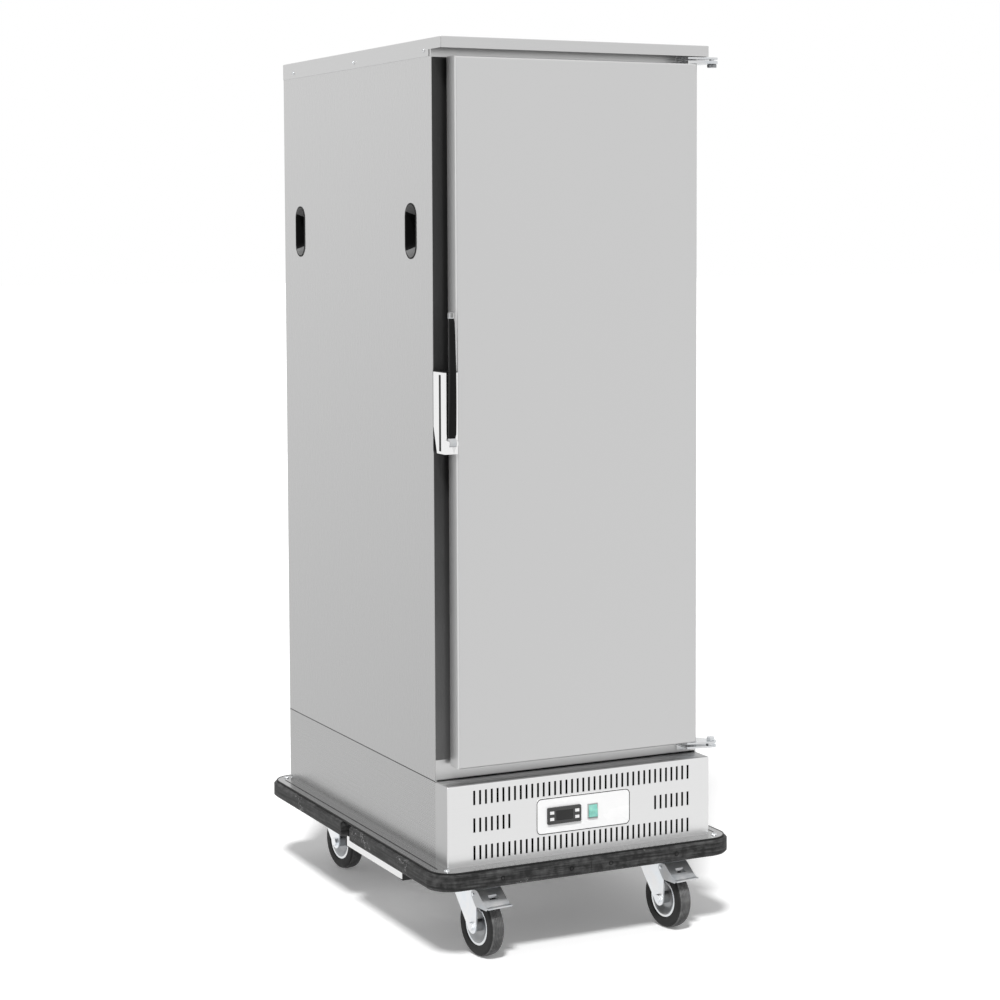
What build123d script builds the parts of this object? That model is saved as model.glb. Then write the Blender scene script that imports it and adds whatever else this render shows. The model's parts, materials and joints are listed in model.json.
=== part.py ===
"""Refrigerated trolley: an insulated cabinet with one door on a wheeled deck, in mm."""
import os

from build123d import *

# Outside of the cabinet
CABINET_WIDTH = 600.0
CABINET_DEPTH = 816.0
CABINET_HEIGHT = 1471.0
FASCIA_DEPTH = 56.0
BASE_HEIGHT = 164.0
SHEET = 1.2
WALL = 60.0
PANEL_SEAM = 0.8

# Chassis and bumper
FRAME_HEIGHT = 160.0
RAIL = 30.0
RAIL_WALL = 2.0
BEAM_WIDTH = 110.0
DECK_SHEET = 3.0
LEDGE = 42.0
DECK_SETBACK = 8.0
BUMPER_THICK = 21.0
BUMPER_DROP = 3.0
BUMPER_RADIUS = 54.0
BUMPER_CHAMFER = 4.0
BUMPER_SIDE_GAP = 50.0
BUMPER_JOINT = 0.6

# Casters
WHEEL_DIAMETER = 125.0
TYRE_WIDTH = 31.0
TYRE_DEPTH = 22.0
TYRE_SHOULDER = 3.5
RIM_WIDTH = 28.0
RIM_LIP = 3.5
WEB_WIDTH = 6.0
HUB_WIDTH = 40.0
HUB_RADIUS = 12.0
AXLE_RADIUS = 5.0
AXLE_HEAD_RADIUS = 9.0
AXLE_HEAD = 5.0
TRAIL = 38.0
SWIVEL_REST = 7.0
CASTER_INSET_X = 127.0
CASTER_INSET_Y = 111.0
PLATE_LENGTH = 100.0
PLATE_WIDTH = 84.0
PLATE_THICK = 3.0
PLATE_CORNER = 10.0
RACE_RADIUS = 33.0
RACE_HEIGHT = 6.0
KINGPIN_RADIUS = 6.0
KINGPIN_NUT = 9.0
KINGPIN_NUT_RADIUS = 11.0
FORK_SHEET = 3.0
FORK_GAP = 42.0
FORK_BACK = 25.0
FORK_TOP_FRONT = 40.0
FORK_SKIRT = 35.0
FORK_BOSS = 15.0
FORK_EAR = 7.0
FORK_BEND = 5.0
RUN_FIT = 0.08

# Brake pedals of the front casters
PEDAL_PIN_RADIUS = 3.0
PEDAL_PIN_END = 2.0
PEDAL_PIN_FORWARD = 50.0
PEDAL_PIN_ABOVE_AXLE = 68.5
PEDAL_EAR_RADIUS = 8.0
PEDAL_SIDE_GAP = 1.0
PEDAL_SHEET = 3.0
PEDAL_BACK = 53.0
PEDAL_KNEE = 64.0
PEDAL_TOE = 97.0
PEDAL_TIP = 107.0
PEDAL_RISE = 8.5
PEDAL_TOE_DROP = 18.0
PEDAL_HEEL = 58.0
PEDAL_CHEEK_DROP = 23.0
PEDAL_WINDOW_WIDTH = 20.0
PEDAL_WINDOW_LENGTH = 9.0
PEDAL_SHOE_START = 61.0
PEDAL_SHOE_LENGTH = 11.0
PEDAL_SHOE_DROP = 7.0
PEDAL_SHOE_WIDTH = 24.0

# Door
DOOR_SIDE_MARGIN = 28.0
DOOR_BOTTOM_MARGIN = 32.0
DOOR_TOP_MARGIN = 37.0
DOOR_THICK = 40.0
DOOR_GAP = 12.0
DOOR_EDGE_ROUND = 4.0
GASKET_WIDTH = 18.0
GASKET_INSET = 7.0
GASKET_CLEAR = 0.3

# Cover
COVER_LIP = 22.0
COVER_SIDE_LIP = 35.0
COVER_OVERHANG = 48.0
COVER_DEEP_START = 9.0
COVER_BEND = 2.0

# Door frame
FRAME_DEEP = 12.0
SILL_HEIGHT = 43.0
HEADER_BELOW_TOP = 37.0

# Hinges
HINGE_OUT = 8.0
HINGE_BEHIND_FRONT = 4.0
HINGE_PIN_RADIUS = 5.0
HINGE_PLATE = 4.0
HINGE_TIP_RADIUS = 12.0
HINGE_ARM_REACH = 56.0
HINGE_TOP_GAP = 3.0
HINGE_BOTTOM_GAP = 5.0
HINGE_TOP_ARM = 6.0
HINGE_TAB = 4.0
HINGE_TAB_HEIGHT = 14.0
HINGE_NUT = 7.0
HINGE_NUT_RADIUS = 9.0
HINGE_BACK_EDGE = 36.0
MOVE_CLEAR = 0.3

# Latch
LATCH_PIVOT_ABOVE_DOOR_BOTTOM = 649.0
LATCH_WIDTH = 28.0
LATCH_DEPTH = 54.0
LATCH_PROUD = 4.0
LATCH_BELOW_PIVOT = 22.0
LATCH_ABOVE_PIVOT = 138.0
LATCH_WALL = 2.5
LATCH_ROUND = 4.0
LATCH_FOOT = 18.0
LATCH_HEEL_RISE = 52.0
LATCH_HEEL_CUT = 16.0
LATCH_GROOVE = 9.5
LATCH_GROOVE_DEPTH = 1.6
LATCH_GROOVE_FROM_FRONT = 18.0
LATCH_GROOVE_END = 5.0
PIVOT_FORWARD = 7.5
PIVOT_RADIUS = 3.0
LUG_RADIUS = 6.5
LUG_THICK = 3.4
LEVER_EYE_RADIUS = 7.0
LEVER_OFFSET = 2.25
LEVER_NECK = 10.0
LEVER_NECK_DEPTH = 8.0
LEVER_BAR_WIDTH = 5.0
LEVER_BAR_DEPTH = 4.0
LEVER_CAP = 13.0
LEVER_CAP_ROUND = 3.0
GRIP_FOOT_WIDTH = 14.5
GRIP_TOP_WIDTH = 9.5
GRIP_END_DEPTH = 8.5
GRIP_MID_DEPTH = 14.0
GRIP_LENGTH = 234.0
GRIP_CHAMFER = 2.0
GRIP_BEHIND_PIVOT = 6.0
KEEPER_SHEET = 2.0
KEEPER_HEIGHT = 60.0
KEEPER_WIDTH = 20.0
KEEPER_ARM = 4.0
KEEPER_REACH = 20.0
KEEPER_HOOK_WIDTH = 10.0
KEEPER_LIP = 3.5
KEEPER_LIP_RISE = 12.0
KEEPER_ABOVE_PIVOT = 80.0
BOLT_TONGUE = 6.0
BOLT_TONGUE_DIP = 8.0
BOLT_BLOCK = 18.0
BOLT_OVER_LIP = 6.0
BOLT_GAP = 1.5

# Recessed hand grips
GRIP_CUP_WIDTH = 54.0
GRIP_CUP_HEIGHT = 110.0
GRIP_CUP_DEPTH = 24.0
GRIP_CUP_WALL = 2.0
GRIP_CUP_REAR_INSET = 97.0
GRIP_CUP_FRONT_INSET = 104.0
GRIP_CUP_BELOW_TOP = 376.0

# Fascia slots
SLOT_LENGTH = 29.0
SLOT_WIDTH = 4.6
SLOT_COUNT = 39
SLOT_END_COUNT = 7
SLOT_MARGIN = 55.5
SLOT_ROW_STEP = 55.5
FASCIA_BEND = 3.0
SLOT_MIDDLE_BELOW_SEAM = 82.5

# Control panel
CONTROL_X = 3.75
CONTROL_WIDTH = 214.5
CONTROL_HEIGHT = 74.0
CONTROL_RADIUS = 11.0
CONTROL_SHEET = 1.2
THERMOSTAT_X = -41.75
THERMOSTAT_WIDTH = 76.0
THERMOSTAT_HEIGHT = 34.0
THERMOSTAT_BEZEL = 4.0
THERMOSTAT_BODY_INSET = 2.5
THERMOSTAT_BODY_DEPTH = 52.0
DISPLAY_WIDTH = 38.0
DISPLAY_HEIGHT = 20.0
DISPLAY_RECESS = 1.0
BUTTON_WIDTH = 9.0
BUTTON_HEIGHT = 6.0
BUTTON_X = 28.5
BUTTON_Z = 6.5
BUTTON_PROUD = 1.0
BUTTON_TRAVEL = 0.8
BUTTON_DEPTH = 2.0
ROCKER_X = 24.0
ROCKER_WIDTH = 23.0
ROCKER_HEIGHT = 30.5
ROCKER_BEZEL = 2.0
ROCKER_FRAME = 1.75
ROCKER_BODY_DEPTH = 28.0
ROCKER_TILT = 8.0
ROCKER_RIDGE = 5.0
ROCKER_EDGE = 3.2
ROCKER_BACK = 6.0

# Chamber fittings
TRAY_LEVELS = 14
FIRST_TRAY_ABOVE_FLOOR = 48.0
RACK_BELOW_CEILING = 40.6
RACK_FRONT_GAP = 20.0
RACK_DUCT_GAP = 38.0
SPACER_DEPTH = 25.5
RUNNER_SHEET = 1.5
RUNNER_LEDGE = 16.0
RUNNER_WEB = 20.0
UPRIGHT_THICK = 10.0
UPRIGHT_WIDTH = 30.0
UPRIGHT_SHEET = 1.5
UPRIGHT_END_INSET = 70.0
RACK_FLOOR_GAP = 20.0
SPACER_HEIGHT = 24.0
SPACER_END_INSET = 60.0
DUCT_DEPTH = 86.0
DUCT_MARGIN = 2.0
DUCT_SLOT_WIDTH = 8.0
DUCT_SLOT_HEIGHT = 60.0
DUCT_SLOT_COUNT = 16
DUCT_SLOT_PITCH = 24.0
DUCT_SLOT_ABOVE_FLOOR = 60.0
EVAPORATOR_FAN_BELOW_CEILING = 206.0
FAN_HOLE_CLEAR = 6.0
GUARD_WIRE = 3.0
GUARD_RINGS = 2
GUARD_SPOKES = 2
COIL_WIDTH = 360.0
COIL_DEPTH = 56.0
COIL_HEIGHT = 220.0
COIL_BELOW_FAN = 140.0
COIL_END_SHEET = 2.0
FIN_SLOT = 6.0
FIN_COUNT = 9
FIN_SLOT_DEPTH = 12.0
COIL_BEND_RADIUS = 5.0
COIL_BEND_OUT = 9.0
COIL_BENDS = 3

# Fans and motors
EVAPORATOR_FAN_RADIUS = 80.0
CONDENSER_FAN_RADIUS = 64.0
FAN_HUB_RADIUS = 18.0
FAN_HUB_LENGTH = 22.0
FAN_BLADES = 5
FAN_BLADE_WIDTH = 40.0
FAN_BLADE_ROOT = 20.0
FAN_BLADE_EMBED = 3.0
FAN_BLADE_SHEET = 1.6
FAN_BLADE_PITCH = 24.0
MOTOR_RADIUS = 28.0
MOTOR_LENGTH = 34.0
MOTOR_CHAMFER = 4.0
SHAFT_RADIUS = 3.0
MOTOR_GAP = 4.0
MOTOR_ARM = 4.0
MOTOR_ARM_WIDTH = 36.0

# Machine compartment
CONDENSER_WIDTH = 300.0
CONDENSER_DEPTH = 40.0
CONDENSER_LIFT = 3.0
CONDENSER_HEIGHT = 144.0
CONDENSER_BEHIND_FASCIA = 86.0
CONDENSER_FAN_GAP = 24.0
COMPRESSOR_X = 120.0
COMPRESSOR_Y = 170.0
COMPRESSOR_RADIUS = 68.0
COMPRESSOR_HEIGHT = 118.0
COMPRESSOR_SHOULDER = 34.0
COMPRESSOR_CROWN = 30.0
COMPRESSOR_FOOT = 3.0
COMPRESSOR_FOOT_WIDTH = 170.0
COMPRESSOR_FOOT_DEPTH = 120.0
GROMMET_RADIUS = 11.0
GROMMET_HEIGHT = 9.0
GROMMET_INSET = 14.0
TERMINAL_BOX = 44.0
TERMINAL_DEPTH = 22.0
LINE_RADIUS = 4.0
LINE_BEND = 12.0
LINE_CORNER = 8.0
LINE_HOLE_CLEAR = 2.0
LINE_SIDE_GAP = 16.0
SUCTION_ABOVE_DECK = 82.0
DRAIN_X = -60.0
DRAIN_Y = 100.0
DRAIN_RADIUS = 9.0
DRAIN_WALL = 2.0
DRAIN_ABOVE_TRAY = 6.0
INLET_SIDE_INSET = 100.0
INLET_WIDTH = 50.0
INLET_HEIGHT = 30.0
INLET_PROUD = 6.0
INLET_DEPTH = 24.0
INLET_SOCKET_DEPTH = 18.0
INLET_WALL = 6.0
GRILLE_SLOTS = 7
GRILLE_SLOT_HEIGHT = 6.0
GRILLE_SLOT_PITCH = 16.0
GRILLE_SLOT_INLET_GAP = 65.0
GRILLE_SLOT_SIDE_INSET = 90.0

# Drip tray
DRIP_LEFT_INSET = 20.0
DRIP_WIDTH = 420.0
DRIP_LENGTH = 310.0
DRIP_HEIGHT = 22.5
DRIP_CORNER = 6.0
DRIP_SHEET = 1.5
DRIP_BELOW_FRAME = 35.0
DRIP_Y = -7.0
RUNNER_ANGLE = 2.0
RUNNER_ANGLE_LEDGE = 14.0
DRIP_SIDE_GAP = 1.0

# Positions that follow
HALF_WIDTH = CABINET_WIDTH / 2
BACK = (CABINET_DEPTH + FASCIA_DEPTH) / 2
FASCIA_FRONT = -BACK
BODY_FRONT = FASCIA_FRONT + FASCIA_DEPTH
DECK_UNDER = FRAME_HEIGHT + RAIL
DECK_TOP = DECK_UNDER + DECK_SHEET
SEAM_Z = DECK_TOP + BASE_HEIGHT
TOP = SEAM_Z + CABINET_HEIGHT
BUMPER_X = HALF_WIDTH + LEDGE
BUMPER_Y = BACK + LEDGE
FRAME_X = BUMPER_X - BUMPER_THICK
FRAME_Y = BUMPER_Y - BUMPER_THICK
INNER_X = HALF_WIDTH - SHEET
INNER_BACK = BACK - SHEET
FRAME_BACK = BODY_FRONT + FRAME_DEEP
FLOOR_UNDER = SEAM_Z + SHEET
ROOF_UNDER = TOP - SHEET
CHAMBER_X = HALF_WIDTH - WALL
CHAMBER_BACK = BACK - WALL
CHAMBER_FLOOR = SEAM_Z + WALL
CHAMBER_TOP = TOP - WALL - 2 * SHEET
SILL_TOP = SEAM_Z + SILL_HEIGHT
HEADER_BOTTOM = TOP - HEADER_BELOW_TOP
DOOR_X = HALF_WIDTH - DOOR_SIDE_MARGIN
DOOR_BOTTOM = SEAM_Z + DOOR_BOTTOM_MARGIN
DOOR_TOP = TOP - DOOR_TOP_MARGIN
DOOR_BACK = BODY_FRONT - DOOR_GAP
DOOR_FRONT = DOOR_BACK - DOOR_THICK
HINGE_X = HALF_WIDTH + HINGE_OUT
HINGE_Y = DOOR_FRONT + HINGE_BEHIND_FRONT
AXLE_Z = WHEEL_DIAMETER / 2
PIN_Z = AXLE_Z + PEDAL_PIN_ABOVE_AXLE
CASTER_X = BUMPER_X - CASTER_INSET_X
CASTER_Y = BUMPER_Y - CASTER_INSET_Y
CROWN_TOP = FRAME_HEIGHT - PLATE_THICK - RACE_HEIGHT - MOVE_CLEAR
CROWN_BOTTOM = CROWN_TOP - FORK_SHEET
FORK_X = FORK_GAP / 2
FORK_OUTER = FORK_X + FORK_SHEET
CHEEK_IN = FORK_OUTER + PEDAL_SIDE_GAP
CHEEK_OUT = CHEEK_IN + PEDAL_SHEET
CASTERS = {
    "front_left": (-CASTER_X, -CASTER_Y),
    "front_right": (CASTER_X, -CASTER_Y),
    "rear_left": (-CASTER_X, CASTER_Y),
    "rear_right": (CASTER_X, CASTER_Y),
}
BRAKED = ("front_left", "front_right")
PIVOT_Z = DOOR_BOTTOM + LATCH_PIVOT_ABOVE_DOOR_BOTTOM
LATCH_RIGHT = -DOOR_X
LATCH_LEFT = LATCH_RIGHT - LATCH_WIDTH
LATCH_FRONT = DOOR_FRONT - LATCH_PROUD
LATCH_BACK = LATCH_FRONT + LATCH_DEPTH
LATCH_MID = (LATCH_LEFT + LATCH_RIGHT) / 2
LATCH_BOTTOM = PIVOT_Z - LATCH_BELOW_PIVOT
LATCH_TOP = PIVOT_Z + LATCH_ABOVE_PIVOT
PIVOT_Y = LATCH_FRONT - PIVOT_FORWARD
LEVER_MID = LATCH_MID - LEVER_OFFSET
LEVER_LEFT = LEVER_MID - GRIP_FOOT_WIDTH / 2
LEVER_RIGHT = LEVER_MID + GRIP_FOOT_WIDTH / 2
GRIP_BACK = PIVOT_Y + GRIP_BEHIND_PIVOT
GRIP_BOTTOM = PIVOT_Z + LEVER_NECK
GRIP_TOP = GRIP_BOTTOM + GRIP_LENGTH
HOOK_Z = PIVOT_Z + KEEPER_ABOVE_PIVOT
HOOK_LIP_TOP = HOOK_Z + KEEPER_ARM + KEEPER_LIP_RISE
HOOK_FRONT = BODY_FRONT - KEEPER_REACH
GRIP_CUP_Z = TOP - GRIP_CUP_BELOW_TOP
GRIP_CUP_YS = (BODY_FRONT + GRIP_CUP_FRONT_INSET, BACK - GRIP_CUP_REAR_INSET)
CONTROL_Z = SEAM_Z - SLOT_MIDDLE_BELOW_SEAM
SLOT_PITCH = (CABINET_WIDTH - 2 * SLOT_MARGIN) / (SLOT_COUNT - 1)
INLET_X = -HALF_WIDTH + INLET_SIDE_INSET
CONTROL_FRONT = FASCIA_FRONT - CONTROL_SHEET
THERMOSTAT_FRONT = CONTROL_FRONT - THERMOSTAT_BEZEL
BUTTONS = {
    "upper_left": (-BUTTON_X, BUTTON_Z),
    "lower_left": (-BUTTON_X, -BUTTON_Z),
    "upper_right": (BUTTON_X, BUTTON_Z),
    "lower_right": (BUTTON_X, -BUTTON_Z),
}
DUCT_FRONT = CHAMBER_BACK - DUCT_DEPTH
EVAPORATOR_FAN_Z = CHAMBER_TOP - EVAPORATOR_FAN_BELOW_CEILING
EVAPORATOR_FAN_Y = DUCT_FRONT + SHEET + FAN_HUB_LENGTH / 2 + MOVE_CLEAR
COIL_TOP = EVAPORATOR_FAN_Z - COIL_BELOW_FAN
COIL_BOTTOM = COIL_TOP - COIL_HEIGHT
COIL_Y = (DUCT_FRONT + SHEET + CHAMBER_BACK) / 2
CONDENSER_FRONT = FASCIA_FRONT + CONDENSER_BEHIND_FASCIA
CONDENSER_BACK = CONDENSER_FRONT + CONDENSER_DEPTH
CONDENSER_BOTTOM = DECK_TOP + CONDENSER_LIFT
CONDENSER_FAN_Y = CONDENSER_BACK + CONDENSER_FAN_GAP
CONDENSER_FAN_Z = CONDENSER_BOTTOM + CONDENSER_HEIGHT / 2
COMPRESSOR_BOTTOM = DECK_TOP + GROMMET_HEIGHT + COMPRESSOR_FOOT
LINE_X = COIL_WIDTH / 2 + LINE_SIDE_GAP
SUCTION_Z = DECK_TOP + SUCTION_ABOVE_DECK
DRIP_TOP = FRAME_HEIGHT - DRIP_BELOW_FRAME
DRIP_BOTTOM = DRIP_TOP - DRIP_HEIGHT
DRIP_LEFT = -HALF_WIDTH + DRIP_LEFT_INSET
DRIP_RIGHT = DRIP_LEFT + DRIP_WIDTH
DRIP_FRONT = DRIP_Y - DRIP_LENGTH / 2
DRIP_BACK = DRIP_Y + DRIP_LENGTH / 2
UPRIGHT_X = CHAMBER_X - SPACER_DEPTH
RUNNER_X = UPRIGHT_X - UPRIGHT_THICK - RUNNER_SHEET
RACK_FRONT = FRAME_BACK + RACK_FRONT_GAP
RACK_BACK = DUCT_FRONT - RACK_DUCT_GAP
RACK_TOP = CHAMBER_TOP - RACK_BELOW_CEILING
FIRST_TRAY_Z = CHAMBER_FLOOR + FIRST_TRAY_ABOVE_FLOOR
TRAY_STEP = (RACK_TOP - FIRST_TRAY_Z) / TRAY_LEVELS


def slab(x0, x1, y0, y1, z0, z1):
    """Box between two corners."""
    return Pos((x0 + x1) / 2, (y0 + y1) / 2, (z0 + z1) / 2) * Box(x1 - x0, y1 - y0, z1 - z0)


def rod_x(x0, x1, y, z, radius):
    """Round bar along X."""
    return Pos((x0 + x1) / 2, y, z) * Rot(0, 90, 0) * Cylinder(radius, x1 - x0)


def rod_y(x, y0, y1, z, radius):
    """Round bar along Y."""
    return Pos(x, (y0 + y1) / 2, z) * Rot(90, 0, 0) * Cylinder(radius, y1 - y0)


def rod_z(x, y, z0, z1, radius):
    """Round bar along Z."""
    return Pos(x, y, (z0 + z1) / 2) * Cylinder(radius, z1 - z0)


def front_plane(y):
    """Sketch plane that faces the front: X across, Z up."""
    return Plane(origin=(0, y, 0), x_dir=(1, 0, 0), z_dir=(0, -1, 0))


def side_plane(x):
    """Sketch plane that faces right: Y across, Z up."""
    return Plane(origin=(x, 0, 0), x_dir=(0, 1, 0), z_dir=(1, 0, 0))


def prism_x(outline, x0, x1):
    """Outline drawn in Y and Z, carried from x0 to x1."""
    return extrude(side_plane(x0) * outline, x1 - x0, dir=(1, 0, 0))


def level(z):
    """Sketch plane that faces up."""
    return Plane(origin=(0, 0, z), x_dir=(1, 0, 0), z_dir=(0, 0, 1))


def hexagon_z(x, y, z0, z1, radius):
    """Hexagon nut or head along Z."""
    return extrude(level(z0) * Pos(x, y) * RegularPolygon(radius, 6), z1 - z0)


def hexagon_x(x0, x1, y, z, radius):
    """Hexagon nut or head along X."""
    return prism_x(Pos(y, z) * RegularPolygon(radius, 6), x0, x1)


def rail(x0, x1, y0, y1, along_x):
    """Square tube of the chassis, open at its ends."""
    outer = slab(x0, x1, y0, y1, FRAME_HEIGHT, DECK_UNDER)
    side_x = 0 if along_x else RAIL_WALL
    side_y = RAIL_WALL if along_x else 0
    inner = slab(
        x0 + side_x, x1 - side_x, y0 + side_y, y1 - side_y,
        FRAME_HEIGHT + RAIL_WALL, DECK_UNDER - RAIL_WALL,
    )
    return outer - inner


def tray_runner(edge_y, outward):
    """Angle hung under the frame that carries one end of the drip tray."""
    web_inner = edge_y + outward * DRIP_SIDE_GAP
    web_outer = web_inner + outward * RUNNER_ANGLE
    ledge_inner = edge_y - outward * RUNNER_ANGLE_LEDGE
    web_y = sorted((web_inner, web_outer))
    ledge_y = sorted((ledge_inner, web_outer))
    web = slab(DRIP_LEFT, DRIP_RIGHT, *web_y, DRIP_BOTTOM - RUNNER_ANGLE, FRAME_HEIGHT)
    ledge = slab(DRIP_LEFT, DRIP_RIGHT, *ledge_y, DRIP_BOTTOM - RUNNER_ANGLE, DRIP_BOTTOM)
    return web + ledge


def chassis_frame():
    """Rails round the edge, two caster beams, two tray beams and the tray's runners."""
    inside_x = FRAME_X - RAIL
    inside_y = FRAME_Y - RAIL
    pieces = [
        rail(-FRAME_X, -inside_x, -FRAME_Y, FRAME_Y, False),
        rail(inside_x, FRAME_X, -FRAME_Y, FRAME_Y, False),
        rail(-inside_x, inside_x, -FRAME_Y, -inside_y, True),
        rail(-inside_x, inside_x, inside_y, FRAME_Y, True),
    ]
    for side in (-1, 1):
        middle = side * CASTER_Y
        pieces.append(rail(-inside_x, inside_x, middle - BEAM_WIDTH / 2, middle + BEAM_WIDTH / 2, True))
    for edge, outward in ((DRIP_FRONT, -1), (DRIP_BACK, 1)):
        pieces.append(rail(-inside_x, inside_x, edge - RAIL / 2, edge + RAIL / 2, True))
        pieces.append(tray_runner(edge, outward))
    return pieces


def chassis_deck():
    """Flat deck with rounded corners and a hole for the drain."""
    width = 2 * (BUMPER_X - DECK_SETBACK)
    depth = 2 * (BUMPER_Y - DECK_SETBACK)
    outline = RectangleRounded(width, depth, BUMPER_RADIUS - DECK_SETBACK)
    sheet = extrude(level(DECK_UNDER) * outline, DECK_SHEET)
    return [sheet - rod_z(DRAIN_X, DRAIN_Y, DECK_UNDER, DECK_TOP, DRAIN_RADIUS)]


def bumper():
    """Four rubber corner pieces with joints front and back and a gap on each side."""
    bottom = FRAME_HEIGHT - BUMPER_DROP
    outline = RectangleRounded(2 * BUMPER_X, 2 * BUMPER_Y, BUMPER_RADIUS)
    block = extrude(level(bottom) * outline, DECK_UNDER - bottom)
    rims = block.faces().sort_by(Axis.Z)
    block = chamfer(rims[0].edges() + rims[-1].edges(), BUMPER_CHAMFER)
    ring = block - slab(-FRAME_X, FRAME_X, -FRAME_Y, FRAME_Y, bottom, DECK_UNDER)
    pieces = []
    for side_x in (-1, 1):
        for side_y in (-1, 1):
            across = sorted((side_x * BUMPER_JOINT / 2, side_x * BUMPER_X))
            along = sorted((side_y * BUMPER_SIDE_GAP / 2, side_y * BUMPER_Y))
            pieces.append(ring & slab(*across, *along, bottom, DECK_UNDER))
    return pieces


def caster_plates():
    """Top plate with cut corners, raceway, king pin and nut of each caster."""
    plate_bottom = FRAME_HEIGHT - PLATE_THICK
    nut_top = CROWN_BOTTOM - MOVE_CLEAR
    nut_bottom = nut_top - KINGPIN_NUT
    outline = Rectangle(PLATE_LENGTH, PLATE_WIDTH)
    outline = chamfer(outline.vertices(), PLATE_CORNER)
    plate = extrude(level(plate_bottom) * outline, PLATE_THICK)
    plate += rod_z(0, 0, plate_bottom - RACE_HEIGHT, plate_bottom, RACE_RADIUS)
    plate += rod_z(0, 0, nut_top, plate_bottom, KINGPIN_RADIUS)
    plate += hexagon_z(0, 0, nut_bottom, nut_top, KINGPIN_NUT_RADIUS)
    return [Pos(x, y, 0) * plate for x, y in CASTERS.values()]


def at_caster(place, shape):
    """Turn a caster piece to its rest angle and set it under its plate."""
    x, y = CASTERS[place]
    return Pos(x, y, 0) * Rot(0, 0, SWIVEL_REST) * shape


def fork_outline():
    """Side view of a fork: crown skirt, axle boss and pedal ear joined by straight edges."""
    skirt = Rectangle(FORK_BACK + FORK_TOP_FRONT, FORK_SKIRT)
    skirt = Pos((FORK_BACK - FORK_TOP_FRONT) / 2, CROWN_TOP - FORK_SKIRT / 2) * skirt
    boss = Pos(-TRAIL, AXLE_Z) * Circle(FORK_BOSS)
    ear = Pos(-PEDAL_PIN_FORWARD, PIN_Z) * Circle(FORK_EAR)
    return make_hull(skirt.edges() + boss.edges() + ear.edges())


def bent_channel(half, top, bend):
    """Solid under a bent sheet that is open below, as long as a fork."""
    block = slab(
        -half, half, -PEDAL_PIN_FORWARD - FORK_EAR, FORK_BACK, AXLE_Z - FORK_BOSS, top
    )
    return fillet(block.faces().sort_by(Axis.Z)[-1].edges().filter_by(Axis.Y), bend)


def pedal_pin():
    """Pin through the fork and the pedal's cheeks, proud at both ends."""
    end = CHEEK_OUT + PEDAL_PIN_END
    return rod_x(-end, end, -PEDAL_PIN_FORWARD, PIN_Z, PEDAL_PIN_RADIUS)


def caster_fork(place):
    """Pressed fork with its axle bolt and nut, and the pedal's pin where there is a brake."""
    fork = bent_channel(FORK_OUTER, CROWN_TOP, FORK_BEND)
    fork -= bent_channel(FORK_X, CROWN_TOP - FORK_SHEET, FORK_BEND - FORK_SHEET)
    fork &= prism_x(fork_outline(), -FORK_OUTER, FORK_OUTER)
    fork -= rod_z(0, 0, CROWN_BOTTOM, CROWN_TOP, KINGPIN_RADIUS + RUN_FIT)
    fork += rod_x(-FORK_OUTER, FORK_OUTER, -TRAIL, AXLE_Z, AXLE_RADIUS)
    reach = FORK_OUTER + AXLE_HEAD
    for x0, x1 in ((-reach, -FORK_OUTER), (FORK_OUTER, reach)):
        fork += hexagon_x(x0, x1, -TRAIL, AXLE_Z, AXLE_HEAD_RADIUS)
    if place in BRAKED:
        fork += pedal_pin()
    return [at_caster(place, fork)]


def wheel_turn(section):
    """Body of revolution about the axle from a section drawn in X and radius."""
    return Pos(0, -TRAIL, AXLE_Z) * revolve(section, Axis.X)


def caster_rim(place):
    """Pressed rim: hub, web that flares toward the lip, and lip."""
    seat = WHEEL_DIAMETER / 2 - TYRE_DEPTH
    half_hub = HUB_WIDTH / 2
    half_web = WEB_WIDTH / 2
    half_lip = RIM_WIDTH / 2
    side = [
        (half_hub, AXLE_RADIUS + RUN_FIT), (half_hub, HUB_RADIUS), (half_web, HUB_RADIUS),
        (half_lip, seat - RIM_LIP), (half_lip, seat),
    ]
    mirrored = [(-x, radius) for x, radius in reversed(side)]
    section = Polygon(*side, *mirrored, align=None)
    return [at_caster(place, wheel_turn(section))]


def caster_tyre(place):
    """Tyre with cut shoulders."""
    outer = WHEEL_DIAMETER / 2
    section = Pos(0, outer - TYRE_DEPTH / 2) * Rectangle(TYRE_WIDTH, TYRE_DEPTH)
    section = chamfer(section.vertices().group_by(Axis.Y)[-1], TYRE_SHOULDER)
    return [at_caster(place, wheel_turn(section))]


def pedal_cheek():
    """Side view of a pedal's cheek: its ear with straight edges to knee, toe and heel."""
    low = PIN_Z - PEDAL_CHEEK_DROP
    ear = Pos(-PEDAL_PIN_FORWARD, PIN_Z) * Circle(PEDAL_EAR_RADIUS)
    edge = Polyline(
        (-PEDAL_KNEE, PIN_Z + PEDAL_RISE), (-PEDAL_TOE, PIN_Z - PEDAL_TOE_DROP),
        (-PEDAL_TOE, low), (-PEDAL_HEEL, low),
    )
    return make_hull(ear.edges() + edge.edges())


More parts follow.
